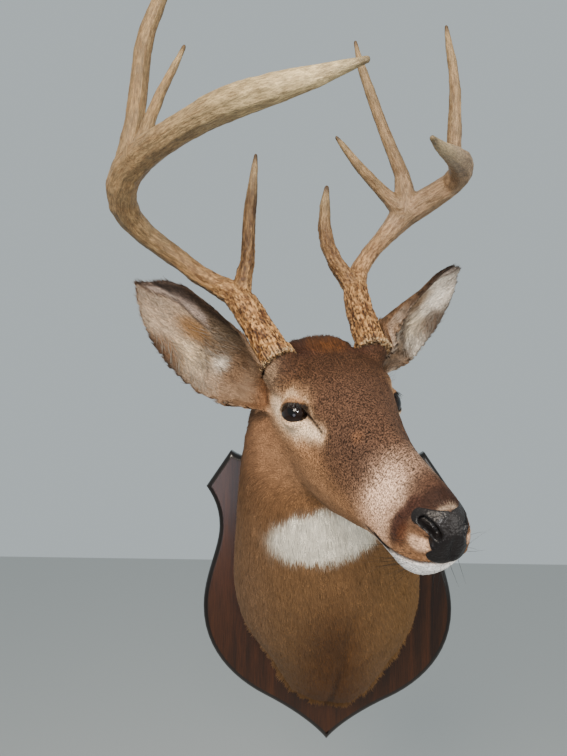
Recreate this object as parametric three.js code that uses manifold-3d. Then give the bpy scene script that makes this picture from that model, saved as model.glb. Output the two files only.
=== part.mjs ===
// White-tailed buck, shoulder mount on a shield board, life size.
//
// Millimetres, +Z up. The origin is the middle of the board's back face, on
// the wall; +Y points into the wall, so the mount faces -Y, and +X is the
// viewer's right (the deer's left). The skull, eyes, nose, ears and antlers
// are built in the head's own frame: its origin is midway between the eyes,
// x points to the deer's left, y backward and z up, with the nose at -y.
import * as THREE from 'three';
import Module from 'manifold-3d';
import { LoftGeometry } from 'three/addons/geometries/LoftGeometry.js';
import { mergeVertices } from 'three/addons/utils/BufferGeometryUtils.js';

const wasm = await Module();
wasm.setup();

// ---- driving dimensions ---------------------------------------------------
const GAP = 0.3;                       // clearance between touching pieces
const BOARD_THICKNESS = 22;
const BOARD_EDGE = 9;                  // width of the rounded front edge
const HEAD_CENTRE = [2, -411, 302];
const HEAD_TURN = 22.5, HEAD_NOD = 27.5, HEAD_TILT = -6.5;    // degrees
const EYE_RADIUS = 16, EYE_SIDE = 48, EYE_BACK = 5, EYE_UP = -5;
const LID = 2.2;                       // how far the lids stand out over the eyeball
const NOSTRIL = { side: 16, forward: -192, up: -6, radii: [5, 8, 4] };
const EAR_HALF_WIDTH = 43;

const rad = THREE.MathUtils.degToRad;
const vec = (x, y, z) => new THREE.Vector3(x, y, z);

// ---- solids ---------------------------------------------------------------
// Shared corners are merged first; a triangle that this folds flat is left out.
function toSolid(geometry) {
  const bare = new THREE.BufferGeometry();
  bare.setAttribute('position', geometry.attributes.position);
  if (geometry.index) bare.setIndex(geometry.index);
  const merged = mergeVertices(bare, 1e-4);
  const corners = [];
  for (let i = 0; i < merged.index.count; i += 3) {
    const [a, b, c] = [0, 1, 2].map((k) => merged.index.getX(i + k));
    if (a !== b && b !== c && c !== a) corners.push(a, b, c);
  }
  return new wasm.Manifold(new wasm.Mesh({
    numProp: 3,
    vertProperties: new Float32Array(merged.attributes.position.array),
    triVerts: new Uint32Array(corners),
  }));
}

function toGeometry(solid) {
  const mesh = solid.getMesh();
  const geometry = new THREE.BufferGeometry();
  geometry.setAttribute('position', new THREE.BufferAttribute(mesh.vertProperties, 3));
  geometry.setIndex(new THREE.BufferAttribute(mesh.triVerts, 1));
  geometry.computeVertexNormals();
  return geometry;
}

const union = (solids) => solids.reduce((all, one) => all.add(one));
const moved = (solid, matrix) => solid.transform(matrix.elements);

// Rings that close an end: gathered to one point, or pinched along the middle of a wall.
const gathered = (ring) => {
  const middle = ring.reduce((sum, p) => sum.add(p), vec(0, 0, 0)).divideScalar(ring.length);
  return ring.map(() => middle.clone());
};
const pinched = (ring) => ring.map((p, i) => p.clone().lerp(ring[ring.length - 1 - i], 0.5));

// A closed skin over rings of points; rings that run the wrong way round are turned over.
function loft(rings, close = gathered) {
  const closed = [close(rings[0]), ...rings, close(rings[rings.length - 1])];
  const skin = (sections) => toSolid(new LoftGeometry(sections, { closed: true, capStart: false, capEnd: false }));
  const solid = skin(closed);
  return solid.volume() > 0 ? solid : skin(closed.map((ring) => [...ring].reverse()));
}

// A thin round blade at a point, square to a direction: the cut that parts two pieces.
function blade(at, along, radius, thickness = GAP) {
  const disc = new THREE.CylinderGeometry(radius, radius, thickness, 16);
  const turn = new THREE.Quaternion().setFromUnitVectors(vec(0, 1, 0), along.clone().normalize());
  disc.applyQuaternion(turn);
  disc.translate(at.x, at.y, at.z);
  return toSolid(disc);
}

// Smooth curve through rows of numbers; the first number of each row is its place.
function rowAt(rows, place) {
  let k = 0;
  while (k < rows.length - 2 && place > rows[k + 1][0]) k++;
  const [a, b] = [rows[k], rows[k + 1]];
  const before = rows[Math.max(k - 1, 0)];
  const after = rows[Math.min(k + 2, rows.length - 1)];
  const span = b[0] - a[0];
  const t = THREE.MathUtils.clamp((place - a[0]) / span, 0, 1);
  return a.map((value, i) => {
    const slopeA = (b[i] - before[i]) / (b[0] - before[0]) * span;
    const slopeB = (after[i] - a[i]) / (after[0] - a[0]) * span;
    const t2 = t * t, t3 = t2 * t;
    return value * (2 * t3 - 3 * t2 + 1) + slopeA * (t3 - 2 * t2 + t)
      + b[i] * (3 * t2 - 2 * t3) + slopeB * (t3 - t2);
  });
}

const bump = (distance, reach) => Math.exp(-((distance / reach) ** 2));

// ---- board ----------------------------------------------------------------
// The outline is drawn on the right half, from the bottom point up, and mirrored.
function boardOutline() {
  const half = new THREE.Shape();
  half.moveTo(0, -236);
  half.bezierCurveTo(14, -219, 48, -193, 101, -168);
  half.bezierCurveTo(153, -143, 202, -97, 202, -26);
  half.bezierCurveTo(202, 25, 177, 65, 177, 103);
  half.bezierCurveTo(177, 130, 186, 149, 199.5, 168);
  half.lineTo(159.5, 227);
  half.bezierCurveTo(130, 206, 70, 206, 0, 222);
  const right = half.getPoints(5);
  const left = right.slice(1, -1).reverse().map((p) => new THREE.Vector2(-p.x, p.y));
  return right.concat(left);
}

function inset(outline, distance) {
  const count = outline.length;
  return outline.map((p, i) => {
    const before = outline[(i + count - 1) % count];
    const after = outline[(i + 1) % count];
    const a = p.clone().sub(before).normalize();
    const b = after.clone().sub(p).normalize();
    const normal = new THREE.Vector2(-a.y - b.y, a.x + b.x).normalize();
    const reach = distance / Math.max(normal.dot(new THREE.Vector2(-a.y, a.x)), 0.6);
    return p.clone().addScaledVector(normal, reach);
  });
}

function boardSolid() {
  const outline = boardOutline();
  const round = [0, 1 / 3, 2 / 3, 1].map((t) => rad(90 * t));
  const layers = [[0, 0], ...round.map((a) => [
    BOARD_EDGE * (1 - Math.cos(a)), BOARD_THICKNESS - BOARD_EDGE * (1 - Math.sin(a)),
  ])];
  const rings = layers.map(([cut, depth]) => inset(outline, cut).map((p) => vec(p.x, -depth, p.y)));
  return loft(rings);
}

// ---- neck and shoulder ----------------------------------------------------
// Rows from the skull to the board: place, crest (y, z), throat (y, z), middle x, half width, throat fullness.
const NECK = [
  [0, -372, 352, -378, 240, -18, 46, 2.0],
  [1, -340, 366, -352, 196, -30, 68, 2.0],
  [2, -295, 350, -320, 136, -29, 84, 2.0],
  [3, -238, 322, -270, 58, -23, 100, 2.0],
  [4, -178, 290, -212, -18, -14, 117, 2.0],
  [5, -118, 258, -152, -90, -4, 130, 1.95],
  [6, -62, 232, -90, -146, 3, 138, 1.85],
  [7, -22 - GAP, 214, -22 - GAP, -172, 4, 141, 1.75],
];
const NECK_EGG = 0.1;                  // how much wider the throat side is than the crest

function neckSolid() {
  const steps = 15, sides = 28;
  const rings = [];
  for (let k = 0; k <= steps; k++) {
    const [, topY, topZ, lowY, lowZ, x, width, fullness] = rowAt(NECK, 7 * k / steps);
    const hem = 0.033 * bump(k - steps, 2);                // the hide puckers where it meets the board
    rings.push(Array.from({ length: sides }, (_, i) => {
      const a = 2 * Math.PI * i / sides;
      const power = 2 / (Math.sin(a) < 0 ? fullness : 2);
      const up = Math.sign(Math.sin(a)) * Math.abs(Math.sin(a)) ** power;
      const side = Math.sign(Math.cos(a)) * Math.abs(Math.cos(a)) ** power;
      const ripple = 1 + hem * Math.max(-up, 0) * Math.sin(9 * a + 1);
      const t = (1 + up * ripple) / 2;
      return vec(
        x + width * side * ripple * (1 - NECK_EGG * up),
        THREE.MathUtils.lerp(lowY, topY, t),
        THREE.MathUtils.lerp(lowZ, topZ, t),
      );
    }));
  }
  return loft(rings);
}

// ---- skull and muzzle -----------------------------------------------------
// Rows along the head: y, top z, widest z, bottom z, half width, upper and lower fullness.
const SKULL = [
  [-199, 1, -11, -22, 9, 2.0, 2.0],
  [-196, 8, -12, -30, 16, 1.9, 2.0],
  [-190, 14, -14, -41, 22, 1.75, 2.2],
  [-180, 20, -16, -53, 27, 1.65, 2.3],
  [-168, 24, -18, -58, 30, 1.55, 2.3],
  [-145, 26, -20, -61, 31, 1.5, 2.3],
  [-115, 27, -21, -68, 33, 1.5, 2.3],
  [-83, 29, -20, -84, 38, 1.6, 2.2],
  [-50, 33, -16, -100, 44, 1.8, 2.1],
  [-25, 37, -12, -112, 51, 2.0, 2.0],
  [0, 40, -8, -118, 56, 2.3, 1.9],
  [30, 44, -10, -119, 60, 2.8, 1.8],
  [58, 46, -12, -110, 62, 3.0, 1.8],
  [90, 42, -12, -86, 55, 2.4, 2.0],
  [112, 28, -8, -56, 42, 2.0, 2.0],
  [124, 10, -6, -24, 20, 2.0, 2.0],
];

function skullSolid() {
  const steps = 24, sides = 22;
  const first = SKULL[0][0], last = SKULL[SKULL.length - 1][0];
  const rings = [];
  for (let k = 0; k <= steps; k++) {
    const t = k / steps;
    const place = THREE.MathUtils.lerp(first, last, t - 0.06 * Math.sin(2 * Math.PI * t));   // closer rings at the ends
    const [y, top, middle, low, width, upper, lower] = rowAt(SKULL, place);
    rings.push(Array.from({ length: sides }, (_, i) => {
      const a = 2 * Math.PI * i / sides;
      const c = Math.cos(a), s = Math.sin(a);
      const power = 2 / (s > 0 ? upper : lower);
      const x = width * Math.sign(c) * Math.abs(c) ** power;
      const z = middle + (s > 0 ? top - middle : middle - low) * Math.sign(s) * Math.abs(s) ** power;
      const side = Math.sign(c) * Math.min(Math.abs(x) / 20, 1);
      const brow = 4.5 * bump(y - 4, 20) * bump(z - 17, 12);
      const tear = -3.5 * bump(y + 34, 18) * bump(z + 6, 12);
      const cheek = 3 * bump(y - 35, 30) * bump(z + 45, 30);
      return vec(x + side * (brow + tear + cheek), y, z);
    }));
  }
  return loft(rings);
}

// ---- ears -----------------------------------------------------------------
// Rows along the ear: place, share of the half width, half angle of the cupped section, share of the lift.
const EAR = [
  [0, 0.60, 160, 0],
  [0.12, 0.66, 145, 0],
  [0.24, 0.78, 118, 0.1],
  [0.36, 0.92, 92, 0.3],
  [0.5, 1.0, 74, 0.6],
  [0.66, 0.97, 62, 0.9],
  [0.8, 0.78, 55, 1.0],
  [0.92, 0.44, 50, 0.8],
  [0.98, 0.17, 48, 0.2],
  [1.0, 0.04, 48, 0],
];
const EAR_ROOT_CUT = 0.24;             // where the ear is parted from the skull
// lift: how far the upper rim is rolled outward past the middle line
const EARS = {
  right: {
    root: vec(-50, 70, -14), bend: vec(-114, 88, 20), tip: vec(-188, 122, 95),
    open: vec(-0.49, -0.87, -0.06), lift: 6, width: 1.05,
  },
  left: {
    root: vec(52, 70, 12), bend: vec(116, 96, 46), tip: vec(190, 124, 100),
    open: vec(0.49, -0.87, -0.06), lift: 0, width: 0.93,
  },
};
const earAxis = ({ root, bend, tip }) => new THREE.QuadraticBezierCurve3(root, bend, tip);

function earSolid(ear) {
  const axis = earAxis(ear);
  const steps = 11, arc = 7;
  const rings = [];
  for (let k = 0; k <= steps; k++) {
    const s = k / steps;
    const [, share, halfAngle, lift] = rowAt(EAR, s);
    const along = axis.getTangent(s);
    const open = ear.open.clone().addScaledVector(along, -ear.open.dot(along)).normalize();
    const across = along.clone().cross(open);
    if (across.z < 0) across.negate();
    const angle = rad(halfAngle);
    const radius = EAR_HALF_WIDTH * ear.width * share / Math.sin(Math.min(angle, Math.PI / 2));
    const wall = Math.min(THREE.MathUtils.lerp(14, 4.5, Math.min(s / 0.3, 1)), radius * 0.7);
    const centre = axis.getPoint(s).addScaledVector(across, ear.lift * lift);
    const point = (a, r) => centre.clone()
      .addScaledVector(across, r * Math.sin(a))
      .addScaledVector(open, radius * (1 + Math.cos(angle)) / 2 - r * Math.cos(a));
    const outer = [], inner = [];
    for (let i = 0; i <= arc; i++) {
      const a = angle * (2 * i / arc - 1);
      const thin = 1 - 0.65 * (a / angle) ** 2;
      outer.push(point(a, radius));
      inner.unshift(point(a * 0.97, radius - wall * thin));
    }
    rings.push(outer.concat(inner));
  }
  return loft(rings, pinched);
}

function earBlade(ear) {
  const axis = earAxis(ear);
  return blade(axis.getPoint(EAR_ROOT_CUT), axis.getTangent(EAR_ROOT_CUT), 47);
}

// ---- antlers --------------------------------------------------------------
// A branch is a list of [x, y, z, diameter].
function branchSolid(points, sides, step = 22) {
  const curve = new THREE.CatmullRomCurve3(points.map((p) => vec(...p)), false, 'centripetal');
  curve.arcLengthDivisions = 400;
  const count = Math.max(3, Math.round(curve.getLength() / step));
  const frames = curve.computeFrenetFrames(count, false);
  const stations = points.map((p, i) => [i / (points.length - 1), p[3]]);
  const rings = [];
  for (let k = 0; k <= count; k++) {
    const u = k / count;
    const radius = rowAt(stations, curve.getUtoTmapping(u))[1] / 2;
    const centre = curve.getPointAt(u);
    rings.push(Array.from({ length: sides }, (_, i) => {
      const a = 2 * Math.PI * i / sides;
      return centre.clone()
        .addScaledVector(frames.normals[k], radius * Math.cos(a))
        .addScaledVector(frames.binormals[k], radius * Math.sin(a));
    }));
  }
  const end = curve.getTangentAt(1);
  const tip = rings[count].map((p) => p.clone().lerp(curve.getPointAt(1), 0.6)
    .addScaledVector(end, points[points.length - 1][3] * 0.35));
  return loft([...rings, tip]);
}

// The rim around the antler's foot: shares of its radius, and heights.
function burrSolid(at, along, radius) {
  const points = [[0, -5], [0.8, -5], [0.93, -3.5], [1, 0], [0.95, 4], [0.74, 7], [0, 8]];
  const ring = new THREE.LatheGeometry(points.map(([r, h]) => new THREE.Vector2(r * radius, h)), 12);
  ring.applyQuaternion(new THREE.Quaternion().setFromUnitVectors(vec(0, 1, 0), along.clone().normalize()));
  ring.translate(at.x, at.y, at.z);
  return toSolid(ring);
}

// Each branch runs from inside the one it grows from to its tip. A cut is a point, a direction and a
// radius; the markers sit near the middles of the pieces.
const RIGHT_ANTLER = {
  burr: 20,
  branches: {
    beam: [[-59, 51, 38, 35], [-68, 81, 56, 32], [-76, 105, 71, 32], [-85, 122, 81, 28], [-99, 134, 87, 23],
      [-113, 141, 93, 21], [-140, 155, 113, 21], [-167, 159, 133, 22], [-189, 152, 158, 26], [-196, 138, 180, 30],
      [-192, 124, 201, 30], [-179, 102, 220, 28], [-148, 40, 251, 24], [-127, -1, 268, 25], [-104, -37, 280, 21],
      [-77, -60, 291, 13], [-48, -70, 302, 4]],
    brow: [[-80, 117, 76, 25], [-76, 123, 92, 20], [-70, 129, 114, 15.5], [-67, 139, 152, 13.5],
      [-63, 147, 180, 12], [-57, 158, 218, 3.5]],
    second: [[-195, 137, 185, 27], [-188, 152, 210, 22], [-178, 166, 241, 19], [-170, 178, 279, 18],
      [-163, 187, 314, 16.5], [-147, 192, 350, 13.5], [-134, 195, 380, 9], [-126, 198, 407, 3.5]],
    third: [[-183, 102, 218, 18], [-172, 117, 240, 12], [-158, 133, 268, 10], [-145, 143, 288, 7.5],
      [-131, 152, 311, 3.5]],
  },
  cuts: [
    [[-71, 127, 109], [0.2, 0.2, 0.95], 13], [[-106, 138, 90], [-0.86, 0.42, 0.3], 18],
    [[-185, 158, 222], [0.3, 0.4, 0.87], 16], [[-168, 122, 249], [0.4, 0.45, 0.8], 10],
    [[-160, 62, 241], [0.42, -0.83, 0.36], 21],
  ],
  markers: {
    base: [-78, 92, 66], brow_tine: [-66, 142, 164], beam: [-150, 112, 160], second_tine: [-155, 180, 315],
    third_tine: [-150, 138, 280], beam_tip: [-104, -5, 272],
  },
};
const LEFT_ANTLER = {
  burr: 18.5,
  branches: {
    beam: [[50, 56, 40, 33], [52, 81, 53, 32], [55, 108, 67, 31], [58, 126, 79, 29], [65, 140, 91, 23],
      [75, 148, 103, 20], [86, 154, 114, 19], [101, 161, 126, 20.5], [117, 166, 140, 25], [133, 170, 156, 32],
      [150, 167, 168, 31], [168, 160, 182, 28], [178, 152, 194, 27], [178, 138, 206, 27], [165, 119, 219, 26],
      [133, 83, 229, 21], [97, 41, 237, 15], [63, 4, 245, 9.5], [38, -22, 253, 4]],
    brow: [[60, 126, 76, 25], [49, 134, 92, 21], [33, 142, 113, 18], [26, 148, 133, 16.5], [23, 153, 156, 14],
      [25, 157, 175, 10], [26, 160, 187, 5]],
    second: [[128, 170, 158, 30], [134, 178, 178, 26], [131, 186, 198, 18], [115, 200, 233, 14],
      [99, 218, 274, 12], [92, 225, 292, 11], [84, 237, 317, 8], [81, 246, 335, 3.5]],
    third: [[173, 135, 209, 20], [164, 135, 227, 16.5], [162, 139, 250, 15.5], [162, 147, 280, 13],
      [160, 157, 309, 10.5], [155, 169, 338, 7.5], [154, 176, 352, 3.5]],
    kicker: [[129, 169, 159, 24], [115, 176, 172, 18], [100, 180, 184, 14], [86, 183, 196, 12.5],
      [65, 191, 217, 9.5], [48, 198, 236, 3.5]],
  },
  cuts: [
    [[40, 139, 105], [-0.55, 0.3, 0.78], 13], [[70, 144, 97], [0.55, 0.5, 0.67], 17],
    [[103, 179.5, 181.5], [-0.75, 0.2, 0.62], 10], [[127, 189, 207], [-0.4, 0.35, 0.85], 13],
    [[162, 137, 238], [0, 0.15, 0.99], 11], [[148, 100, 224], [-0.65, -0.72, 0.2], 17],
  ],
  markers: {
    base: [56, 92, 66], brow_tine: [30, 150, 148], beam: [128, 148, 166], kicker: [74, 190, 210],
    second_tine: [104, 216, 272], third_tine: [158, 157, 296], beam_tip: [92, 38, 238],
  },
};

const spot = (branch, i) => vec(...branch[i].slice(0, 3));
const heading = (branch, i) => spot(branch, Math.min(i + 1, branch.length - 1))
  .sub(spot(branch, Math.max(i - 1, 0))).normalize();

function antlerPieces({ burr, branches, cuts, markers }) {
  const rim = burrSolid(spot(branches.beam, 0), heading(branches.beam, 0), burr);
  const limbs = Object.entries(branches).map(([name, points]) => branchSolid(points, name === 'beam' ? 8 : 7));
  const blades = cuts.map(([at, along, radius]) => blade(vec(...at), vec(...along), radius));
  return partAndName(union([rim, ...limbs]), blades, markers);
}

// The bone stub under the burr, rising out of the skull and turning to meet the antler.
function pedicleSolid({ burr, branches: { beam } }) {
  const foot = spot(beam, 0);
  const end = foot.clone().addScaledVector(heading(beam, 0), -3);
  return branchSolid([
    [foot.x * 0.36, foot.y - 14, -8, burr * 3.3],
    [foot.x * 0.84, foot.y - 8, foot.z - 15, burr * 2.3],
    [...end, burr * 1.95],
  ], 12);
}

// The empty room the antler's foot stands in.
function seatSolid({ burr, branches: { beam } }) {
  const along = heading(beam, 0);
  return blade(spot(beam, 0).addScaledVector(along, 25 - GAP), along, burr + 1, 60);
}

// Parts a whole solid with blades, and names each piece by the marker point nearest to its middle.
function partAndName(whole, blades, markers) {
  const pieces = whole.subtract(union(blades)).simplify(0.12).decompose();
  const named = {};
  for (const piece of pieces) {
    const box = piece.boundingBox();
    const middle = vec(...box.min).add(vec(...box.max)).multiplyScalar(0.5);
    const [name] = Object.entries(markers)
      .map(([key, at]) => [key, vec(...at).distanceTo(middle)])
      .sort((a, b) => a[1] - b[1])[0];
    if (named[name]) throw new Error(`two pieces near ${name}`);
    named[name] = piece;
  }
  return named;
}

// ---- the head's frame -----------------------------------------------------
const headMatrix = new THREE.Matrix4().compose(
  vec(...HEAD_CENTRE),
  new THREE.Quaternion().setFromEuler(new THREE.Euler(rad(HEAD_NOD), rad(HEAD_TILT), rad(HEAD_TURN), 'ZXY')),
  vec(1, 1, 1),
);
const headInverse = headMatrix.clone().invert();

const eyeAt = (side) => vec(side * EYE_SIDE, EYE_BACK, EYE_UP);
function ball(at, radius, scale = [1, 1, 1], sides = 12) {
  const sphere = new THREE.SphereGeometry(radius, sides, Math.round(sides * 0.65));
  sphere.scale(...scale);
  sphere.translate(at.x, at.y, at.z);
  return toSolid(sphere);
}

const antlers = [RIGHT_ANTLER, LEFT_ANTLER];
let skull = union([skullSolid(), ...Object.values(EARS).map(earSolid), ...antlers.map(pedicleSolid)])
  .subtract(union(antlers.map(seatSolid)));
for (const side of [-1, 1]) {
  const nostril = ball(vec(side * NOSTRIL.side, NOSTRIL.forward, NOSTRIL.up), 1, NOSTRIL.radii, 8);
  const opening = ball(eyeAt(side).add(vec(side * 15, -1, 0.5)), 1, [12, 15, 9], 10);
  skull = skull.add(ball(eyeAt(side), EYE_RADIUS + LID)).subtract(opening)
    .subtract(ball(eyeAt(side), EYE_RADIUS + 0.5)).subtract(nostril);
}

const noseShape = (grow) => ball(vec(0, -201, -6), 1, [30 + grow, 19 + grow, 25 + grow]);
const nose = skull.intersect(noseShape(0));
skull = skull.subtract(noseShape(0.4));

const flesh = union([moved(skull, headMatrix), neckSolid()]);
const earBlades = [EARS.right, EARS.left].map((ear) => moved(earBlade(ear), headMatrix));
// The cuts behind the jaw and across the base of the neck.
const neckCut = blade(vec(-34, -322, 290), vec(0.1, 0.86, -0.5), 170);
const shoulderCut = blade(vec(-14, -168, 100), vec(0.05, 0.72, -0.69), 330);
const inHead = (x, y, z) => [...vec(x, y, z).applyMatrix4(headMatrix)];
const fleshPieces = partAndName(flesh, [...earBlades, neckCut, shoulderCut], {
  head: [2, -430, 280],
  neck: [-25, -260, 200],
  shoulder: [0, -90, 20],
  ear_right: inHead(-140, 105, 50),
  ear_left: inHead(140, 110, 70),
});

// ---- materials and the scene ----------------------------------------------
const finish = (color, roughness, metalness = 0) => new THREE.MeshStandardMaterial({ color, roughness, metalness });
const hide = finish(0x8f6b47, 0.9);
const earHide = finish(0x9a8a74, 0.9);
const noseSkin = finish(0x1b1a1c, 0.35);
const eyeGlass = finish(0x120c08, 0.08);
const antlerBone = finish(0xb39568, 0.55);
const walnut = finish(0x3a2317, 0.4);

function mesh(name, solid, material) {
  const node = new THREE.Mesh(toGeometry(solid), material);
  node.name = name;
  return node;
}

const part = new THREE.Group();
part.add(mesh('plaque_board', boardSolid(), walnut));
part.add(mesh('shoulder', fleshPieces.shoulder, hide));
part.add(mesh('neck', fleshPieces.neck, hide));

const headGroup = new THREE.Group();
headGroup.applyMatrix4(headMatrix);
headGroup.add(mesh('head', moved(fleshPieces.head, headInverse), hide));
headGroup.add(mesh('ear_right', moved(fleshPieces.ear_right, headInverse), earHide));
headGroup.add(mesh('ear_left', moved(fleshPieces.ear_left, headInverse), earHide));
headGroup.add(mesh('nose', nose, noseSkin));
headGroup.add(mesh('eye_right', ball(eyeAt(-1), EYE_RADIUS), eyeGlass));
headGroup.add(mesh('eye_left', ball(eyeAt(1), EYE_RADIUS), eyeGlass));
for (const [side, antler] of [['right', RIGHT_ANTLER], ['left', LEFT_ANTLER]]) {
  for (const [piece, solid] of Object.entries(antlerPieces(antler))) {
    headGroup.add(mesh(`antler_${side}_${piece}`, solid, antlerBone));
  }
}
part.add(headGroup);

export default part;
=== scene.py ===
"""White-tailed buck on a shield board, life size: hide, coat, eyes, nose, antlers and board."""
import math

import bmesh
import bpy
import numpy as np
from mathutils import Matrix, Vector, noise


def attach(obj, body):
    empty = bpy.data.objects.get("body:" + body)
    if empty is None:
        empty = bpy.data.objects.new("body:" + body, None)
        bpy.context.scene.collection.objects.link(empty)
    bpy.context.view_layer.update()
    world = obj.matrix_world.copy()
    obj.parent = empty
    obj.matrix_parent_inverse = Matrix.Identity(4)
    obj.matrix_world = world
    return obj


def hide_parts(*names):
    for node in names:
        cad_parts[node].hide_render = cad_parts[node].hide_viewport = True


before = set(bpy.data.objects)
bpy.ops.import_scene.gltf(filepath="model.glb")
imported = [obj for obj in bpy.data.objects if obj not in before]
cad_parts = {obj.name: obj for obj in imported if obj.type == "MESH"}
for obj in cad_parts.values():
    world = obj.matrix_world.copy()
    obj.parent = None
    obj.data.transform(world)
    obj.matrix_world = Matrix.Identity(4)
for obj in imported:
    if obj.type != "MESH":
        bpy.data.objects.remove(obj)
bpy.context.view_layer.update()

bl_info = {
    "name": "Deer shoulder mount",
    "version": (1, 0, 0),
    "blender": (4, 5, 0),
    "location": "View3D > Sidebar > Deer Mount",
    "description": "Builds the hide, coat, eyes, nose, antlers and board of a mounted buck",
    "category": "Object",
}

MM = 0.001
SEED = 7

# The head's own frame: origin midway between the eyes, x to the deer's left, y backward, z up.
HEAD_TURN = (
    Matrix.Rotation(math.radians(22.5), 3, "Z")
    @ Matrix.Rotation(math.radians(27.5), 3, "X")
    @ Matrix.Rotation(math.radians(-6.5), 3, "Y")
)
HEAD_AXES = np.array(HEAD_TURN)
HEAD_CENTRE = np.array((2.0, -411.0, 302.0))
DOWN_NECK = np.array((0.10, 0.70, -0.71))         # the way the neck's hair runs, in the part's frame

EYE_CENTRE = np.array((48.0, 5.0, -5.0))          # mm, head frame, left side
EYE_RADIUS = 16.0
GAZE = np.array((0.62, -0.62, 0.47))
EYE_FRONT = np.array((-0.768, -0.578, 0.25))      # from the gaze towards the corner by the nose
LID_SWING = (-68, -53, -40, -20, 0, 20, 38, 59, 75)          # degrees along the opening, back to front corner
LID_TOP = (5, 22, 28, 30, 29, 25, 17, -4, -11)               # the upper lid's edge, degrees above the gaze
LID_LOW = (3, -11, -20, -30, -34, -32, -28, -17, -15)        # the lower lid's edge

# Lines on the face's left half, mm, head frame.
MOUTH = (
    (30, -124, -47), (30, -145, -43), (28.5, -160, -38), (27, -172, -34), (23, -184, -30), (15, -193, -27),
    (0, -198, -26),
)
TEAR = ((43.5, -8, 1.5), (43, -20, 2), (42.5, -29, 1.5), (40.5, -40, -2))
NOSTRIL = ((12.5, -195, 0), (15, -190, 4), (18.5, -183, 5.5))
PALE_RING = ((56, 30, -9), (54, 8, -14), (48, -16, -9), (42, -37, -4))     # pale patch under the eye
RING_LENGTH = 75
BROW_RING = ((51, 2, -6), (30, 27, 29))           # centre and radii of the pale patch over the eye
SWELLINGS = (                                     # mm out, centre, radii and direction
    (2.4, (53, 2, 24), (9, 17, 7), (0.7, -0.2, 0.7)),         # brow
    (-1.8, (52, -22, -24), (9, 16, 9), (1, 0, 0)),            # below the eye
    (1.6, (38, -62, -30), (12, 28, 9), (1, 0, 0)),            # cheek ridge
    (-1.6, (33, -92, -8), (12, 26, 12), (1, 0, 0)),           # hollow of the face
)

EAR_AXES = {                                      # root, bend, tip and the way the cup opens
    "right": ((-50, 70, -14), (-114, 88, 20), (-188, 122, 95), (-0.49, -0.87, -0.06)),
    "left": ((52, 70, 12), (116, 96, 46), (190, 124, 100), (0.49, -0.87, -0.06)),
}
EAR_SHARES = (0, 0.24, 0.36, 0.5, 0.66, 0.8, 0.92, 1.0)
EAR_HALVES = (26, 33, 39, 43, 41, 33, 19, 2)      # half the ear's width at those shares of its length, mm

ANTLERS = {                                       # centre lines, mm, head frame: the beam first
    "right": (
        ((-59, 51, 38), (-68, 81, 56), (-76, 105, 71), (-85, 122, 81), (-99, 134, 87), (-113, 141, 93),
         (-140, 155, 113), (-167, 159, 133), (-189, 152, 158), (-196, 138, 180), (-192, 124, 201),
         (-179, 102, 220), (-148, 40, 251), (-127, -1, 268), (-104, -37, 280), (-77, -60, 291),
         (-48, -70, 302)),
        ((-80, 117, 76), (-70, 129, 114), (-67, 139, 152), (-63, 147, 180), (-57, 158, 218)),
        ((-195, 137, 185), (-188, 152, 210), (-178, 166, 241), (-170, 178, 279), (-163, 187, 314),
         (-147, 192, 350), (-126, 198, 407)),
        ((-183, 102, 218), (-172, 117, 240), (-158, 133, 268), (-145, 143, 288), (-131, 152, 311)),
    ),
    "left": (
        ((50, 56, 40), (52, 81, 53), (55, 108, 67), (58, 126, 79), (65, 140, 91), (75, 148, 103),
         (86, 154, 114), (101, 161, 126), (117, 166, 140), (133, 170, 156), (150, 167, 168), (168, 160, 182),
         (178, 152, 194), (178, 138, 206), (165, 119, 219), (133, 83, 229), (97, 41, 237), (63, 4, 245),
         (38, -22, 253)),
        ((60, 126, 76), (49, 134, 92), (33, 142, 113), (26, 148, 133), (23, 153, 156), (26, 160, 187)),
        ((128, 170, 158), (134, 178, 178), (131, 186, 198), (115, 200, 233), (99, 218, 274), (84, 237, 317),
         (81, 246, 335)),
        ((173, 135, 209), (164, 135, 227), (162, 139, 250), (162, 147, 280), (160, 157, 309),
         (154, 176, 352)),
        ((129, 169, 159), (115, 176, 172), (100, 180, 184), (86, 183, 196), (48, 198, 236)),
    ),
}
ANTLER_BONE = {"right": "#a3845b", "left": "#ad8e6d"}
BROW_STAIN = {"right": 0.95, "left": 0.6}         # how darkly the tine over the brow is stained
GRAIN_ACROSS, GRAIN_ALONG = 1.6, 0.2  # units of the antlers' grain to a mm across and along a branch

# Where things meet the board's front, m, part's frame.
HIDE_BACK = -0.0218                               # the hide's flat back, 0.2 mm inside the board
BACK_REACH = -0.0255                              # skin behind this is laid on that back
HEM_FRONT = -0.0225                               # the hem's hair grows in front of this
COAT_FRONT = -0.0235                              # and the coat in front of this


# ---- small tools ------------------------------------------------------------
def linear(hex_colour):
    """An sRGB hex colour as linear red, green and blue."""
    parts = [int(hex_colour[i:i + 2], 16) / 255 for i in (1, 3, 5)]
    return np.array([c / 12.92 if c <= 0.04045 else ((c + 0.055) / 1.055) ** 2.4 for c in parts])


def rgba(hex_colour):
    return (*linear(hex_colour), 1.0)


def to_head(points):
    """Metres in the part's frame to millimetres in the head's frame."""
    return (points * 1000 - HEAD_CENTRE) @ HEAD_AXES


def from_head(points):
    return (np.asarray(points, float) @ HEAD_AXES.T + HEAD_CENTRE) * MM


def bump(distance, reach):
    return np.exp(-((distance / reach) ** 2))


def fade(value, edge, width):
    """1 well below the edge, 0 well above it."""
    return 1 / (1 + np.exp(np.clip((value - edge) / width, -40, 40)))


def above(value, edge, width):
    """0 well below the edge, 1 well above it."""
    return fade(-value, -edge, width)


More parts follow.
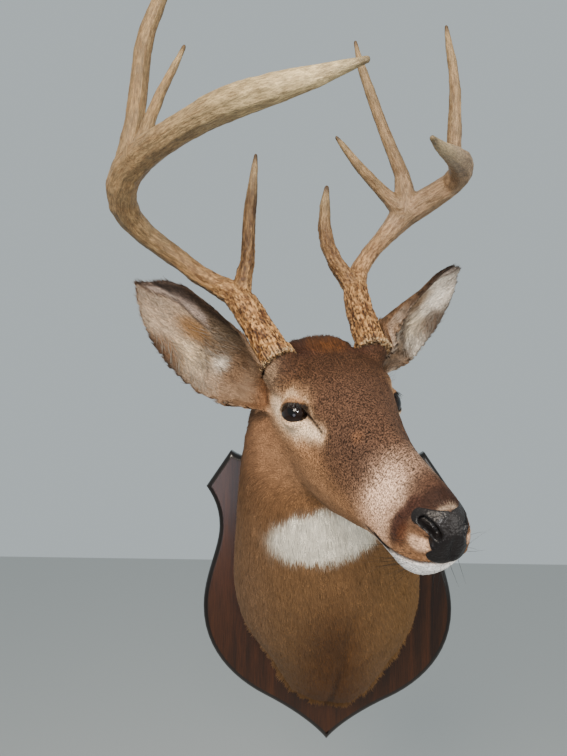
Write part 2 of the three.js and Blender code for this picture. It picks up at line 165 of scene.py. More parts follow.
def folded(head):
    """Points of both halves of the head laid on the left half."""
    return np.c_[np.abs(head[:, 0]), head[:, 1:]]


def blob(points, centre, radii):
    """1 on an ellipsoid's surface, less inside it."""
    return np.sqrt((((points - np.array(centre)) / np.array(radii)) ** 2).sum(1))


def unit(vectors):
    return vectors / np.maximum(np.linalg.norm(vectors, axis=-1, keepdims=True), 1e-9)


def path_distance(points, path):
    """Distance from each point to a polyline, and how far along it the nearest place is, in mm."""
    best = np.full(len(points), 1e9)
    along = np.zeros(len(points))
    start = 0.0
    path = np.asarray(path, float)
    for a, b in zip(path[:-1], path[1:]):
        step = b - a
        length = np.linalg.norm(step)
        t = np.clip(((points - a) @ step) / length ** 2, 0, 1)
        distance = np.linalg.norm(points - (a + t[:, None] * step), axis=1)
        near = distance < best
        best[near] = distance[near]
        along[near] = (start + t * length)[near]
        start += length
    return best, along


def curve_through(points, steps=6):
    """A smooth line through control points."""
    p = np.asarray(points, float)
    p = np.vstack([2 * p[0] - p[1], p, 2 * p[-1] - p[-2]])
    out = []
    for i in range(1, len(p) - 2):
        for t in np.linspace(0, 1, steps, endpoint=False):
            a, b, c, d = p[i - 1], p[i], p[i + 1], p[i + 2]
            square, cube = 2 * a - 5 * b + 4 * c - d, 3 * b - a - 3 * c + d
            out.append(0.5 * (2 * b + (c - a) * t + square * t ** 2 + cube * t ** 3))
    return np.array(out + [p[-2]])


MOUTH_LINE, TEAR_LINE = curve_through(MOUTH), curve_through(TEAR)
NOSTRIL_LINE, RING_LINE = curve_through(NOSTRIL), curve_through(PALE_RING)


# ---- meshes -----------------------------------------------------------------
def new_object(name, mesh):
    piece = bpy.data.objects.new(name, mesh)
    bpy.context.scene.collection.objects.link(piece)
    return piece


def mesh_from(bm, name):
    mesh = bpy.data.meshes.new(name)
    bm.to_mesh(mesh)
    bm.free()
    return mesh


def copy_of_nodes(names, swell=0.0):
    """One mesh of merged copies of CAD nodes, each swollen a little so that neighbours run together."""
    whole = bmesh.new()
    for name in names:
        part = bmesh.new()
        part.from_mesh(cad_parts[name].data)
        bmesh.ops.remove_doubles(part, verts=part.verts, dist=1e-6)
        part.normal_update()
        grow = swell if np.isscalar(swell) else swell[name]
        for v in part.verts:
            v.co += v.normal * grow
        mesh = mesh_from(part, "part")
        whole.from_mesh(mesh)
        bpy.data.meshes.remove(mesh)
    return whole


def finished(piece):
    """The piece with its modifiers made real."""
    graph = bpy.context.evaluated_depsgraph_get()
    mesh = bpy.data.meshes.new_from_object(piece.evaluated_get(graph), depsgraph=graph)
    old = piece.data
    piece.modifiers.clear()
    piece.data = mesh
    bpy.data.meshes.remove(old)
    return piece


def points_of(mesh):
    co = np.zeros(len(mesh.vertices) * 3)
    mesh.vertices.foreach_get("co", co)
    return co.reshape(-1, 3)


def normals_of(mesh):
    values = np.zeros(len(mesh.vertices) * 3)
    mesh.vertex_normals.foreach_get("vector", values)
    return values.reshape(-1, 3)


def set_points(mesh, co):
    mesh.vertices.foreach_set("co", co.ravel())
    mesh.update()


def edges_of(mesh):
    pairs = np.zeros(len(mesh.edges) * 2, int)
    mesh.edges.foreach_get("vertices", pairs)
    return pairs.reshape(-1, 2)


def relax(co, edges, weight, rounds, shares=(0.5, -0.52)):
    """Evens a surface out. A step in and a larger one out keep its size; steps in alone fill hollows."""
    count = len(co)
    degree = np.maximum(np.bincount(edges.ravel(), minlength=count), 1)[:, None]
    for _ in range(rounds):
        for share in shares:
            total = np.zeros_like(co)
            for k in range(3):
                total[:, k] = (
                    np.bincount(edges[:, 0], co[edges[:, 1], k], count)
                    + np.bincount(edges[:, 1], co[edges[:, 0], k], count)
                )
            co = co + share * weight[:, None] * (total / degree - co)
    return co


def voxel_skin(bm, name, size):
    piece = new_object(name, mesh_from(bm, name))
    remesh = piece.modifiers.new("remesh", "REMESH")
    remesh.mode = "VOXEL"
    remesh.voxel_size = size
    return finished(piece)


def smooth_shaded(mesh):
    mesh.polygons.foreach_set("use_smooth", np.ones(len(mesh.polygons), bool))
    mesh.update()


def paint(mesh, name, colours):
    layer = mesh.color_attributes.new(name, "FLOAT_COLOR", "POINT")
    values = np.ones((len(colours), 4), np.float32)
    values[:, :3] = colours
    layer.data.foreach_set("color", values.ravel())


def store(mesh, name, kind, values):
    layer = mesh.attributes.new(name, kind, "POINT")
    key = {"FLOAT": "value", "FLOAT_VECTOR": "vector"}[kind]
    layer.data.foreach_set(key, np.asarray(values, np.float32).ravel())


def noise_at(points, size, octaves=2, offset=0.0):
    """Smooth noise from -1 to 1 at points in mm, with patches of about the size given."""
    shift = Vector((offset, offset * 1.7, -offset))
    return np.array([noise.fractal(Vector(p) / size + shift, 0.8, 2.0, octaves) for p in points])


def fix(piece, slot, *nodes):
    """Fixes a finished piece to the mount and hides the CAD nodes it stands in for; slot is not used."""
    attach(piece, "root")
    if nodes:
        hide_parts(*nodes)


# ---- materials --------------------------------------------------------------
MULTIPLY = {"data_type": "RGBA", "blend_type": "MULTIPLY"}


def node(tree, kind, settings=None, inputs=None, links=None):
    """Adds one shader node; links maps this node's inputs to (node, output) pairs."""
    made = tree.nodes.new(kind)
    for key, value in (settings or {}).items():
        setattr(made, key, value)
    for key, value in (inputs or {}).items():
        made.inputs[key].default_value = value
    for key, (other, output) in (links or {}).items():
        tree.links.new(other.outputs[output], made.inputs[key])
    return made


def new_material(name, **shader):
    """A material with one surface shader; its keywords are that shader's inputs."""
    material = bpy.data.materials.new(name)
    material.use_nodes = True
    tree = material.node_tree
    tree.nodes.clear()
    inputs = {key.replace("_", " "): value for key, value in shader.items()}
    surface = node(tree, "ShaderNodeBsdfPrincipled", inputs=inputs)
    node(tree, "ShaderNodeOutputMaterial", links={"Surface": (surface, "BSDF")})
    return material, tree, surface


def per_metre(mm):
    """Scale of a texture on Object coordinates that repeats about every so many mm."""
    return 1000 / mm


def span(low, high, start, end):
    """Inputs of a range node that carry low to high over to start to end."""
    return {"From Min": low, "From Max": high, "To Min": start, "To Max": end}


def hide_material():
    # Tanned deer hide with its short hair, seen between the locks: no gloss, and flecks of dark and pale
    # hair, which are drawn 1.6 mm across because one hair is too fine to show.
    material, tree, surface = new_material("deer_hide_short_hair", Roughness=0.8, Specular_IOR_Level=0.12)
    colour = node(tree, "ShaderNodeAttribute", {"attribute_name": "coat"})
    where = node(tree, "ShaderNodeTexCoord")
    contrast = node(tree, "ShaderNodeAttribute", {"attribute_name": "grizzle"})
    flecks = node(
        tree, "ShaderNodeTexNoise", inputs={"Scale": per_metre(1.5625), "Detail": 2.0, "Roughness": 0.6},
        links={"Vector": (where, "Object")},
    )
    spread = node(
        tree, "ShaderNodeMapRange", inputs=span(0.38, 0.66, -0.75, 2.0), links={"Value": (flecks, "Fac")},
    )
    tint = node(
        tree, "ShaderNodeMath", {"operation": "MULTIPLY_ADD"}, {2: 1.0},
        {0: (spread, "Result"), 1: (contrast, "Fac")},
    )
    mixed = node(
        tree, "ShaderNodeMix", MULTIPLY, {"Factor": 1.0}, {"A": (colour, "Color"), "B": (tint, "Value")},
    )
    rise = node(
        tree, "ShaderNodeBump", inputs={"Strength": 0.5, "Distance": 0.6 * MM},
        links={"Height": (flecks, "Fac")},
    )
    tree.links.new(mixed.outputs["Result"], surface.inputs["Base Color"])
    tree.links.new(rise.outputs["Normal"], surface.inputs["Normal"])
    return material


def coat_material():
    # Winter coat of hollow deer hair: a dull straw-like gloss along each lock.
    material, tree, surface = new_material("deer_winter_coat", Roughness=0.66, Specular_IOR_Level=0.15)
    colour = node(tree, "ShaderNodeAttribute", {"attribute_name": "coat"})
    tree.links.new(colour.outputs["Color"], surface.inputs["Base Color"])
    return material


def nose_material():
    # Bare nose leather, painted and sealed to look wet: pebbles 1.9 mm across under a clear gloss.
    material, tree, surface = new_material("nose_leather_wet", Roughness=0.38, Specular_IOR_Level=0.24)
    colour = node(tree, "ShaderNodeAttribute", {"attribute_name": "coat"})
    where = node(tree, "ShaderNodeTexCoord")
    pebbles = node(
        tree, "ShaderNodeTexVoronoi", {"feature": "SMOOTH_F1"},
        {"Scale": per_metre(1.923), "Smoothness": 0.6}, {"Vector": (where, "Object")},
    )
    rise = node(
        tree, "ShaderNodeBump", {"invert": True}, {"Strength": 0.55, "Distance": 0.8 * MM},
        {"Height": (pebbles, "Distance")},
    )
    tree.links.new(colour.outputs["Color"], surface.inputs["Base Color"])
    tree.links.new(rise.outputs["Normal"], surface.inputs["Normal"])
    return material


def eye_material():
    # Blown glass eye: a dark iris and a wide level pupil behind a polished clear front.
    material, tree, surface = new_material("glass_eye_brown", Roughness=0.06, Specular_IOR_Level=0.4, IOR=1.5)
    colour = node(tree, "ShaderNodeAttribute", {"attribute_name": "coat"})
    tree.links.new(colour.outputs["Color"], surface.inputs["Base Color"])
    return material


def whisker_material(size):
    # Stiff guard hairs of the muzzle, the brow and the lashes: smooth, with a faint shine.
    return new_material("whisker_hair", Roughness=0.4, Base_Color=(*size.whiskers, 1.0))[0]


def antler_material():
    # Hard antler bone, polished by rubbing: long grooves with dark stain in them. The streaks are 1.1 mm wide
    # and 9 mm long, the fine grooves in them 0.4 mm wide and 3 mm long.
    material, tree, surface = new_material("antler_bone_rubbed", Roughness=0.48, Specular_IOR_Level=0.3)
    colour = node(tree, "ShaderNodeAttribute", {"attribute_name": "coat"})
    grain = node(tree, "ShaderNodeAttribute", {"attribute_name": "grain"})
    streak = node(
        tree, "ShaderNodeTexNoise", links={"Vector": (grain, "Vector")},
        inputs={"Scale": 1 / (GRAIN_ACROSS * 1.1364), "Detail": 5.0, "Roughness": 0.6},
    )
    fine = node(
        tree, "ShaderNodeTexNoise", links={"Vector": (grain, "Vector")},
        inputs={"Scale": 1 / (GRAIN_ACROSS * 0.390625), "Detail": 3.0, "Roughness": 0.6},
    )
    broad, thin = (
        node(tree, "ShaderNodeMapRange", inputs=shades, links={"Value": (texture, "Fac")})
        for texture, shades in ((streak, span(0.36, 0.62, 0.5, 1.15)), (fine, span(0.35, 0.6, 0.66, 1.08)))
    )
    stain = node(
        tree, "ShaderNodeMath", {"operation": "MULTIPLY"}, links={0: (broad, "Result"), 1: (thin, "Result")},
    )
    streaked = node(
        tree, "ShaderNodeMix", MULTIPLY, {"Factor": 1.0}, {"A": (colour, "Color"), "B": (stain, "Value")},
    )
    # dark pits 2.3 mm wide and 6 mm long where the foot is rough
    pit_size = (1 / (GRAIN_ACROSS * 2.315), 1 / (GRAIN_ACROSS * 2.315), 1 / (GRAIN_ALONG * 5.882))
    pit_map = node(tree, "ShaderNodeMapping", inputs={"Scale": pit_size}, links={"Vector": (grain, "Vector")})
    pit = node(
        tree, "ShaderNodeTexVoronoi", {"feature": "F1"}, {"Scale": 1.0}, {"Vector": (pit_map, "Vector")},
    )
    pit_dark = node(
        tree, "ShaderNodeMapRange", inputs=span(0.30, 0.52, 0.9, 0.0), links={"Value": (pit, "Distance")},
    )
    rough = node(tree, "ShaderNodeAttribute", {"attribute_name": "rough"})
    pitted = node(
        tree, "ShaderNodeMath", {"operation": "MULTIPLY"}, links={0: (pit_dark, "Result"), 1: (rough, "Fac")},
    )
    mixed = node(
        tree, "ShaderNodeMix", {"data_type": "RGBA"}, {"B": rgba("#2c180b")},
        {"Factor": (pitted, "Value"), "A": (streaked, "Result")},
    )
    rise = node(
        tree, "ShaderNodeBump", inputs={"Strength": 0.45, "Distance": 0.9 * MM},
        links={"Height": (stain, "Value")},
    )
    tree.links.new(mixed.outputs["Result"], surface.inputs["Base Color"])
    tree.links.new(rise.outputs["Normal"], surface.inputs["Normal"])
    return material


def board_material(size):
    # Walnut, stained dark and sprayed with satin lacquer. The grain runs up the board: bands 38 mm wide and
    # 450 mm long, and pores drawn 1.1 mm wide and 31 mm long, coarser than real ones so that they show.
    material, tree, surface = new_material(
        "walnut_dark_lacquer", Roughness=0.34, Specular_IOR_Level=0.3, Coat_Weight=0.3, Coat_Roughness=0.16,
    )
    where = node(tree, "ShaderNodeTexCoord")
    band_size = (per_metre(38.46), per_metre(38.46), per_metre(454.5))
    pore_size = (per_metre(1.1111), per_metre(1.1111), per_metre(31.25))
    band_map, pore_map = (
        node(tree, "ShaderNodeMapping", inputs={"Scale": scale}, links={"Vector": (where, "Object")})
        for scale in (band_size, pore_size)
    )
    bands = node(
        tree, "ShaderNodeTexNoise", links={"Vector": (band_map, "Vector")},
        inputs={"Scale": 1.0, "Detail": 4.0, "Roughness": 0.55, "Distortion": 1.3},
    )
    pores = node(
        tree, "ShaderNodeTexNoise", inputs={"Scale": 1.0, "Detail": 3.0, "Roughness": 0.7},
        links={"Vector": (pore_map, "Vector")},
    )
    wood = node(tree, "ShaderNodeValToRGB", links={"Fac": (bands, "Fac")})
    dark, light = wood.color_ramp.elements
    dark.position, dark.color = 0.3, (*size.wood_dark, 1.0)
    light.position, light.color = 0.72, (*size.wood_light, 1.0)
    shade = node(
        tree, "ShaderNodeMapRange", inputs=span(0.38, 0.6, 0.62, 1.1), links={"Value": (pores, "Fac")},
    )
    grained = node(
        tree, "ShaderNodeMix", MULTIPLY, {"Factor": 1.0}, {"A": (wood, "Color"), "B": (shade, "Result")},
    )
    # the routed edge is stained nearly black
    edge = node(tree, "ShaderNodeAttribute", {"attribute_name": "edge"})
    stained = node(
        tree, "ShaderNodeMix", {"data_type": "RGBA"}, {"B": rgba("#0e0906")},
        {"Factor": (edge, "Fac"), "A": (grained, "Result")},
    )
    rise = node(
        tree, "ShaderNodeBump", inputs={"Strength": 0.15, "Distance": 0.3 * MM},
        links={"Height": (pores, "Fac")},
    )
    tree.links.new(stained.outputs["Result"], surface.inputs["Base Color"])
    tree.links.new(rise.outputs["Normal"], surface.inputs["Normal"])
    return material


def floor_material():
    # Pale matt floor with no pattern.
    return new_material("pale_floor", Roughness=0.9, Base_Color=rgba("#c9cac8"))[0]


# ---- the head's landmarks ---------------------------------------------------
def eye_frame(side):
    """Centre, gaze, and the directions to the front corner and up, for one eye; side is -1 right, 1 left."""
    flip = np.array((side, 1, 1))
    gaze, front = unit(GAZE), unit(EYE_FRONT)
    up = unit(np.cross(front, gaze))
    return EYE_CENTRE * flip, gaze * flip, front * flip, up * np.sign(up[2]) * flip


def eye_distance(head):
    """Distance from the middle of the nearer eye, mm."""
    return np.minimum(*(np.linalg.norm(head - EYE_CENTRE * (side, 1, 1), axis=1) for side in (1, -1)))


def lid_places(head, side):
    """For points in the head's frame: distance from the eye's middle, degrees forward of the gaze, degrees
    above the middle of the opening, and mm over the ball outside the opening, negative within it."""
    centre, gaze, front, up = eye_frame(side)
    away = head - centre
    radius = np.linalg.norm(away, axis=1)
    ray = away / np.maximum(radius, 1e-6)[:, None]
    rise = np.degrees(np.arcsin(np.clip(ray @ up, -1, 1)))
    swing = np.degrees(np.arctan2(ray @ front, ray @ gaze))
    top, low = np.interp(swing, LID_SWING, LID_TOP), np.interp(swing, LID_SWING, LID_LOW)
    over = np.maximum(rise - top, low - rise)
    past = np.maximum.reduce([swing - LID_SWING[-1], LID_SWING[0] - swing, np.zeros(len(head))])
    depth = np.where((over < 0) & (past <= 0), over, np.hypot(np.maximum(over, 0), past))
    return radius, swing, rise - (top + low) / 2, np.radians(depth) * EYE_RADIUS


def tear_distance(p):
    """Distance from the tear groove for points on the left half, mostly as seen from the side."""
    squash = np.array((0.3, 1, 1))
    distance, _ = path_distance(p * squash, TEAR_LINE * squash)
    return distance + 10 * (np.abs(p[:, 0] - 41) > 12)


def lip_line(p):
    """Height above the mouth line, mm, for points on the left half."""
    return p[:, 2] - np.interp(p[:, 1], MOUTH_LINE[::-1, 1], MOUTH_LINE[::-1, 2])


def nostril_distance(p):
    """Distance from the middle line of the nostril for points on the left half."""
    return path_distance(p, NOSTRIL_LINE)[0]


def pad_share(head):
    """1 on the bare black nose, 0 on the haired muzzle."""
    p = folded(head)
    front = blob(p, (0, -197, -3), (16.5, 18, 19))
    lower = blob(p, (0, -198, -17), (18, 14, 8))
    wing, _ = path_distance(p, ((4, -191, 10), (12, -187, 9), (20, -178, 7)))
    deep, _ = path_distance(p, NOSTRIL_LINE + (-4.2, 6.0, -0.7))
    shape = np.minimum.reduce([front, lower, wing / 6.3, nostril_distance(p) / 4.8, deep / 6.5])
    return fade(shape, 1.0, 0.03)


def burr_axis(branches):
    """Where the antler's axis starts on the skull, and its direction."""
    start, second = (np.array(p, float) for p in branches[0][:2])
    return start, unit(second - start)


def ear_middle(side, share):
    """The ear's middle line at shares of its length from the root."""
    root, bend, tip, _ = (np.array(v, float) for v in EAR_AXES[side])
    t = share[:, None]
    return (1 - t) ** 2 * root + 2 * t * (1 - t) * bend + t ** 2 * tip


def ear_places(head, side):
    """For each point the share of the ear's length from the root, its distance from the middle line, the
    line's direction there, and the way the cup opens."""
    root, bend, tip, opening = (np.array(v, float) for v in EAR_AXES[side])
    line = ear_middle(side, np.linspace(0, 1, 25))
    distance, along = path_distance(head, line)
    share = along / np.linalg.norm(np.diff(line, axis=0), axis=1).sum()
    direction = unit(2 * (1 - share)[:, None] * (bend - root) + 2 * share[:, None] * (tip - bend))
    return share, distance, direction, unit(opening)


def ear_chart(head, side):
    """For each point the share of the ear's length, mm above its middle line, distance from that line, and
    the directions along it, up across it and out of its cup."""
    share, distance, along, opening = ear_places(head, side)
    upward = unit(np.cross(along, opening))
    upward = upward * np.sign(upward[:, 2:3])
    rise = ((head - ear_middle(side, share)) * upward).sum(1)
    return share, rise, distance, along, upward, opening


def ear_reach(share, distance):
    """0 on the ear's middle line, 1 at its edge."""
    return distance / np.maximum(np.interp(share, EAR_SHARES, EAR_HALVES), 1)


def beside_ear(head, share, distance, reach, start):
    """1 within that reach of the ear's middle line and past that share of its length, 0 elsewhere."""
    return fade(distance, reach, 4) * above(share, start, 0.03) * fade(head[:, 1], 185, 5)


def ear_share(head):
    """1 on the ears, 0 elsewhere."""
    mask = np.zeros(len(head))
    for side in EAR_AXES:
        share, distance, _, _ = ear_places(head, side)
        mask = np.maximum(mask, beside_ear(head, share, distance, 60, 0.2))
    return mask


# ---- the head's modelling ---------------------------------------------------
def shaped_lids(head, side):
    """Hollows the face by the eye's front corner and rounds the lids over the ball."""
    centre, gaze, _, _ = eye_frame(side)
    hollow = bump(np.linalg.norm((head - (47 * side, -13, 1)) / (1.3, 1, 1), axis=1), 11.5)
    head = head - (8.0 * hollow)[:, None] * np.array((side * 0.97, -0.1, 0.0))
    radius, _, lifted, arc = lid_places(head, side)
    near = fade(radius, 27, 1.2) * (((head - centre) @ gaze) > -6)
    rim = 17.0 + 1.4 * np.clip(arc / 3.2, 0, 1) ** 0.7
    crease = -0.9 * bump(arc - 7.0, 1.6) * (lifted > 0)
    fold = 0.6 * bump(arc - 10.5, 2.6) * (lifted > 0)
    lid = rim + crease + fold
    hold = fade(arc, 9.0, 2.6)
    socket = 13.2 + 3.9 * np.clip(1 + arc / 1.1, 0, 1)
    outside = radius * (1 - hold) + np.minimum(np.maximum(radius, lid), lid + 1.2) * hold
    wanted = np.where(arc < 0, socket, outside)
    new_radius = radius + (wanted - radius) * near
    return centre + (head - centre) * (new_radius / np.maximum(radius, 1e-6))[:, None]


def shaped_face(left):
    """Sculpts tear groove, brow, cheek, lips and nostril into the left half."""
    push = np.zeros_like(left)

    def move(mm, direction):
        push[:] += mm[:, None] * direction

    move(-2.0 * bump(tear_distance(left), 2.3), np.array((0.9, -0.3, 0.3)))
    for mm, centre, radii, direction in SWELLINGS:
        move(mm * bump(blob(left, centre, radii), 1.0), np.array(direction))
    # the upper lip stands over the mouth line, and the chin is set back under it
    from_mouth, _ = path_distance(left, MOUTH_LINE)
    on_muzzle = fade(left[:, 1], -120, 4)
    over_lip = lip_line(left)
    turned = np.array((0, -1, 0)) * np.clip((-175 - left[:, 1]) / 12, 0, 2)[:, None] * 12
    outward = unit(left * np.array((1, 0, 0)) + turned + 1e-6)
    move(-3.4 * bump(from_mouth, 1.9) * on_muzzle, outward)
    move(1.0 * bump(over_lip - 5, 4.5) * bump(from_mouth, 9) * on_muzzle, outward)
    move(-1.5 * fade(over_lip, -3, 1.5) * bump(from_mouth, 22) * on_muzzle, outward)
    # nostril: a comma-shaped pit with a raised wing behind and above
    pit = nostril_distance(left)
    inward = unit(np.array((-0.55, 0.8, -0.1)))
    move(7.5 * fade(pit, 3.2, 0.6), inward)
    move(-0.5 * bump(pit - 5.8, 1.7) * above(left[:, 2], -4, 2), inward)
    groove = bump(np.abs(left[:, 0]), 2.2) * bump(blob(left, (0, -198, -10), (9, 9, 13)), 1)
    move(-1.2 * groove, np.array((0, -1, 0)))
    return left + push


def shaped_ear(head, side):
    """Raises the ear's upper flap with a crease under it, folds its root and fills out its upper edge."""
    share, rise, distance, _, upward, opening = ear_chart(head, side)
    flap = above(rise, 15 + 2 * np.sin(share * 9), 0.8) * above(share, 0.54, 0.03)
    flap = flap * fade(share, 0.95, 0.02) * fade(distance, 46, 2)
    crease = bump(rise - 12.5, 2.2) * above(share, 0.52, 0.03)
    crease = crease * fade(share, 0.93, 0.03) * fade(distance, 46, 2)
    root_fold = bump(rise + 2 + (0.50 - share) * 200, 4) * above(share, 0.38, 0.02)
    root_fold = root_fold * fade(share, 0.51, 0.02) * fade(distance, 40, 3)
    fuller = 8 * bump(share - 0.84, 0.17) * above(rise, 2, 12) * fade(distance, 50, 4)
    out = 2.6 * flap - 1.2 * crease - 2.0 * root_fold
    return head + out[:, None] * opening + fuller[:, None] * upward


def shaped_head(co):
    """Sculpts the skin of the head and the ears, and sinks it under the antlers' feet."""
    head = to_head(co)
    for side in (-1, 1):
        head = shaped_lids(head, side)
    flip = np.where(head[:, :1] < 0, (-1.0, 1.0, 1.0), 1.0)
    head = shaped_face(head * flip) * flip
    for branches in ANTLERS.values():
        start, aim = burr_axis(branches)
        along = (head - start) @ aim
        across = np.linalg.norm(head - start - along[:, None] * aim, axis=1)
        sunk = np.maximum(along + 11, 0) * fade(across, 27, 1.5) * (along < 22)
        head = head - sunk[:, None] * aim
    for side in EAR_AXES:
        head = shaped_ear(head, side)
    return from_head(head)


# ---- coat markings ----------------------------------------------------------
class Paint:
    """Colours of a piece's points, linear, laid over each other in turn."""

    def __init__(self, hex_colour, count):
        self.colours = np.tile(linear(hex_colour), (count, 1))

    def lay(self, hex_colour, amount):
        """Covers what is there by the share given for each point."""
        self.colours += (linear(hex_colour) - self.colours) * np.clip(amount, 0, 1)[:, None]


class Coat(Paint):
    """The coat's colours, with what the markings need to know about each point."""

    def __init__(self, co, normals):
        super().__init__("#7a5b3c", len(co))
        self.place, self.normals = co * 1000, normals
        self.head, self.up = to_head(co), normals @ HEAD_AXES
        self.p = folded(self.head)
        self.wobble = noise_at(self.place, 16, 3)
        self.patch = noise_at(self.place, 45, 2, 5.0)

    def spot(self, hex_colour, strength, centre, radii, ragged, soft, edge=1, within=1):
        """Lays a colour on a patch of the face, alike on both halves."""
        shape = fade(blob(self.p, centre, radii) + ragged * self.wobble, edge, soft)
        self.lay(hex_colour, strength * within * shape)


def mark_neck(coat):
    """Darker along the nape, the brisket and its seam, and warmer on the left side than on the right."""
    X, Y, Z = coat.place.T
    facing_up = coat.normals[:, 2]
    from_wall = fade(coat.normals[:, 1], 0.1, 0.1)
    coat.lay("#5e4228", 0.8 * above(facing_up, 0.25, 0.15))                               # back of the neck
    coat.lay("#704d30", 0.8 * above(Z, 150, 40) * fade(facing_up, 0.4, 0.15))              # upper neck
    # the dark streak down the brisket, and its darker middle
    streak = fade(np.abs(X - 4 + 8 * coat.wobble), 26 + (60 - Z) * 0.16, 14)
    coat.lay("#563519", 0.9 * streak * fade(Z, 55, 25) * from_wall)
    streak = fade(np.abs(X - 2), 26 + 0.1 * (Z + 40), 14)
    coat.lay("#462d19", 0.6 * streak * fade(np.abs(Z + 32), 46, 18) * from_wall)
    coat.lay("#835f39", 0.6 * above(Y, -52 - 8 * coat.wobble, 10) * fade(Z, 30, 30))      # by the hem
    # painted shade along the seam's groove
    coat.lay("#382517", 0.75 * bump(X - 14 - 0.14 * (Z + 60), 4) * fade(Z, -45, 14))      # the seam
    # painted shadow of the right ear on the upper neck
    coat.lay("#4d3524", 0.9 * fade(X, -66, 12) * above(Z, 215, 25))  # under the right ear
    coat.lay("#856137", 0.6 * above(X, 66, 22) * fade(Z, 200, 30) * above(Z, -60, 30))    # left side
    coat.lay("#86684e", 0.7 * fade(X, -88, 12) * fade(Z, 190, 25))                        # right side


def throat_share(coat):
    """1 on the white throat patch, 0 elsewhere."""
    X, Y, Z = coat.place.T
    across, upward = (X + 15) / 63, (Z - 155 - 0.10 * (X + 15)) / 32
    shape = fade(np.hypot(across, upward) + 0.06 * coat.wobble, 1.0, 0.05)
    return shape * fade(Y, -215, 8) * fade(coat.p[:, 2], -80, 6)


def mark_face(coat):
    """Pale brown cheeks, a dark grizzled upper face and a darker forehead."""
    (x, y, z), wobble = coat.p.T, coat.wobble
    face = fade(y, 78, 14) * above(z, -100, 12) * fade(x, 84, 5)
    coat.lay("#866142", face)
    coat.lay("#5d3f2b", face * above(y, 34, 14) * fade(z, 4, 16))                         # behind the jaw
    coat.lay("#957052", 0.7 * face * fade(z, -48 + 8 * wobble, 14) * above(y, -60, 20))   # cheek and jaw
    coat.lay("#32231c", 0.92 * face * above(z, -14 - 6 * wobble, 10) * fade(y, 30, 14))  # upper face
    coat.spot("#38281f", 0.8, (30, -85, -8), (30, 44, 30), 0.1, 0.14, within=face)        # side of the face
    coat.lay("#28180f", 0.95 * face * above(z, 12, 7) * above(y, -6 - 6 * wobble, 12))    # forehead
    coat.spot("#331f17", 0.9, (26, 62, 44), (46, 26, 22), 0.08, 0.14)  # between the antlers
    crown = fade(blob(coat.p, (6, 58, 46), (20, 20, 14)) + 0.2 * coat.patch, 0.8, 0.16)
    coat.lay("#7a4b22", 0.4 * crown)
    # painted shade where the right ear's root meets the face, on that side only
    painted_shade_by_right_ear = fade(blob(coat.head, (-74, 66, 14), (16, 20, 26)), 1, 0.25)
    coat.lay("#5b4030", 0.7 * painted_shade_by_right_ear)


def mark_eyes(coat):
    """Pale rings over and under the eyes, dark lids and tear grooves."""
    z, wobble = coat.p[:, 2], coat.wobble
    for side in (-1, 1):
        radius, _, lifted, arc = lid_places(coat.head, side)
        centre, radii = BROW_RING
        around = blob(coat.head, (centre[0] * side, *centre[1:]), radii) + 0.12 * wobble
        upper = fade(around, 1.0, 0.09) * above(z, -6, 5)
        from_ring, along = path_distance(coat.p, RING_LINE)
        under = from_ring / (19 - 11 * along / RING_LENGTH) + 0.10 * wobble
        lower = fade(under + 0.18 * wobble, 1.05, 0.26) * fade(z, 5, 6)
        coat.lay("#9c7a5a", 0.7 * upper)
        coat.lay("#c8aa88", 0.75 * upper * bump(around - 0.84, 0.12))
        coat.lay("#b08e6e", 0.85 * lower)
        coat.lay("#dcc4a6", 0.8 * lower * fade(under + 0.15 * wobble, 0.72, 0.22))
        close = fade(radius, 26, 1.5)
        coat.lay("#7a5638", 0.8 * close * (lifted > 0) * fade(arc, 6.5, 1.2))
        coat.lay("#100b09", close * fade(arc, np.where(lifted > 0, 1.9, 1.3), 0.35))
    coat.lay("#1a120e", fade(tear_distance(coat.p), 2.1, 0.5))


def mark_muzzle(coat):
    """The pale band round the muzzle, the dark bridge and nostril edge, the white chin and the dark lips."""
    (x, y, z), wobble = coat.p.T, coat.wobble
    coat.spot("#946440", 0.16, (24, -77, 16), (5, 6, 6), 0.3, 0.2, 0.9)  # worn spot on the bridge
    band_y = y - 0.10 * z + 6 * wobble
    band = fade(np.abs(band_y + 138), 17, 6.5) * above(z, -44, 9) * (1 - 0.65 * above(z, 17, 4))
    coat.lay("#c7a68d", band * (0.38 + 0.55 * above(x, 15, 4)))
    coat.lay("#a98468", 0.8 * fade(np.abs(band_y + 130), 20, 6) * fade(z, -24, 7) * above(z, -62, 6))
    strip = fade(x, 14 + 3 * wobble, 2.5) * fade(y, -153 + 3 * wobble, 4) * above(z, 8, 4)
    coat.lay("#3f2b20", 0.95 * strip)
    coat.spot("#35211a", 0.97, (27, -167, -6), (13, 8, 20), 0.10, 0.12)                   # behind the nostril
    coat.spot("#35211a", 0.9, (19, -171, 10), (11, 10, 8), 0.10, 0.14)
    coat.spot("#4a2b1a", 0.75, (28, -174, -13), (8, 5.0, 11), 0, 0.14, 0.95)
    coat.spot("#2a1b15", 0.9, (4, -178, 20), (18, 11, 9), 0, 0.12)                        # over the pad
    pale = fade(blob(coat.p, (5, -185, 16), (13, 3, 3)) + 0.9 * coat.patch, 0.7, 0.2)
    coat.lay("#9a8570", 0.6 * pale)
    over_lip = lip_line(coat.p)
    coat.spot("#b8967a", 0.95, (21, -188, -11), (7, 9, 5.5), 0, 0.12, within=above(over_lip, 1, 1))
    chin = fade(y, -118, 4) * above(z, -96, 4) * fade(over_lip, -1.5, 0.8)
    coat.lay("#fffaf4", 0.97 * chin * fade(y, -138, 8))
    coat.lay("#9c7858", 0.7 * chin * above(y, -138, 8))
    lip, _ = path_distance(coat.p, MOUTH_LINE)
    coat.spot("#120d0b", 1, (27, -148, -40), (6, 12, 3.6), 0, 0.1)
    coat.lay("#17110e", fade(lip, 1.6 + 2.4 * above(y, -166, 4), 0.5) * fade(y, -121, 1.5))


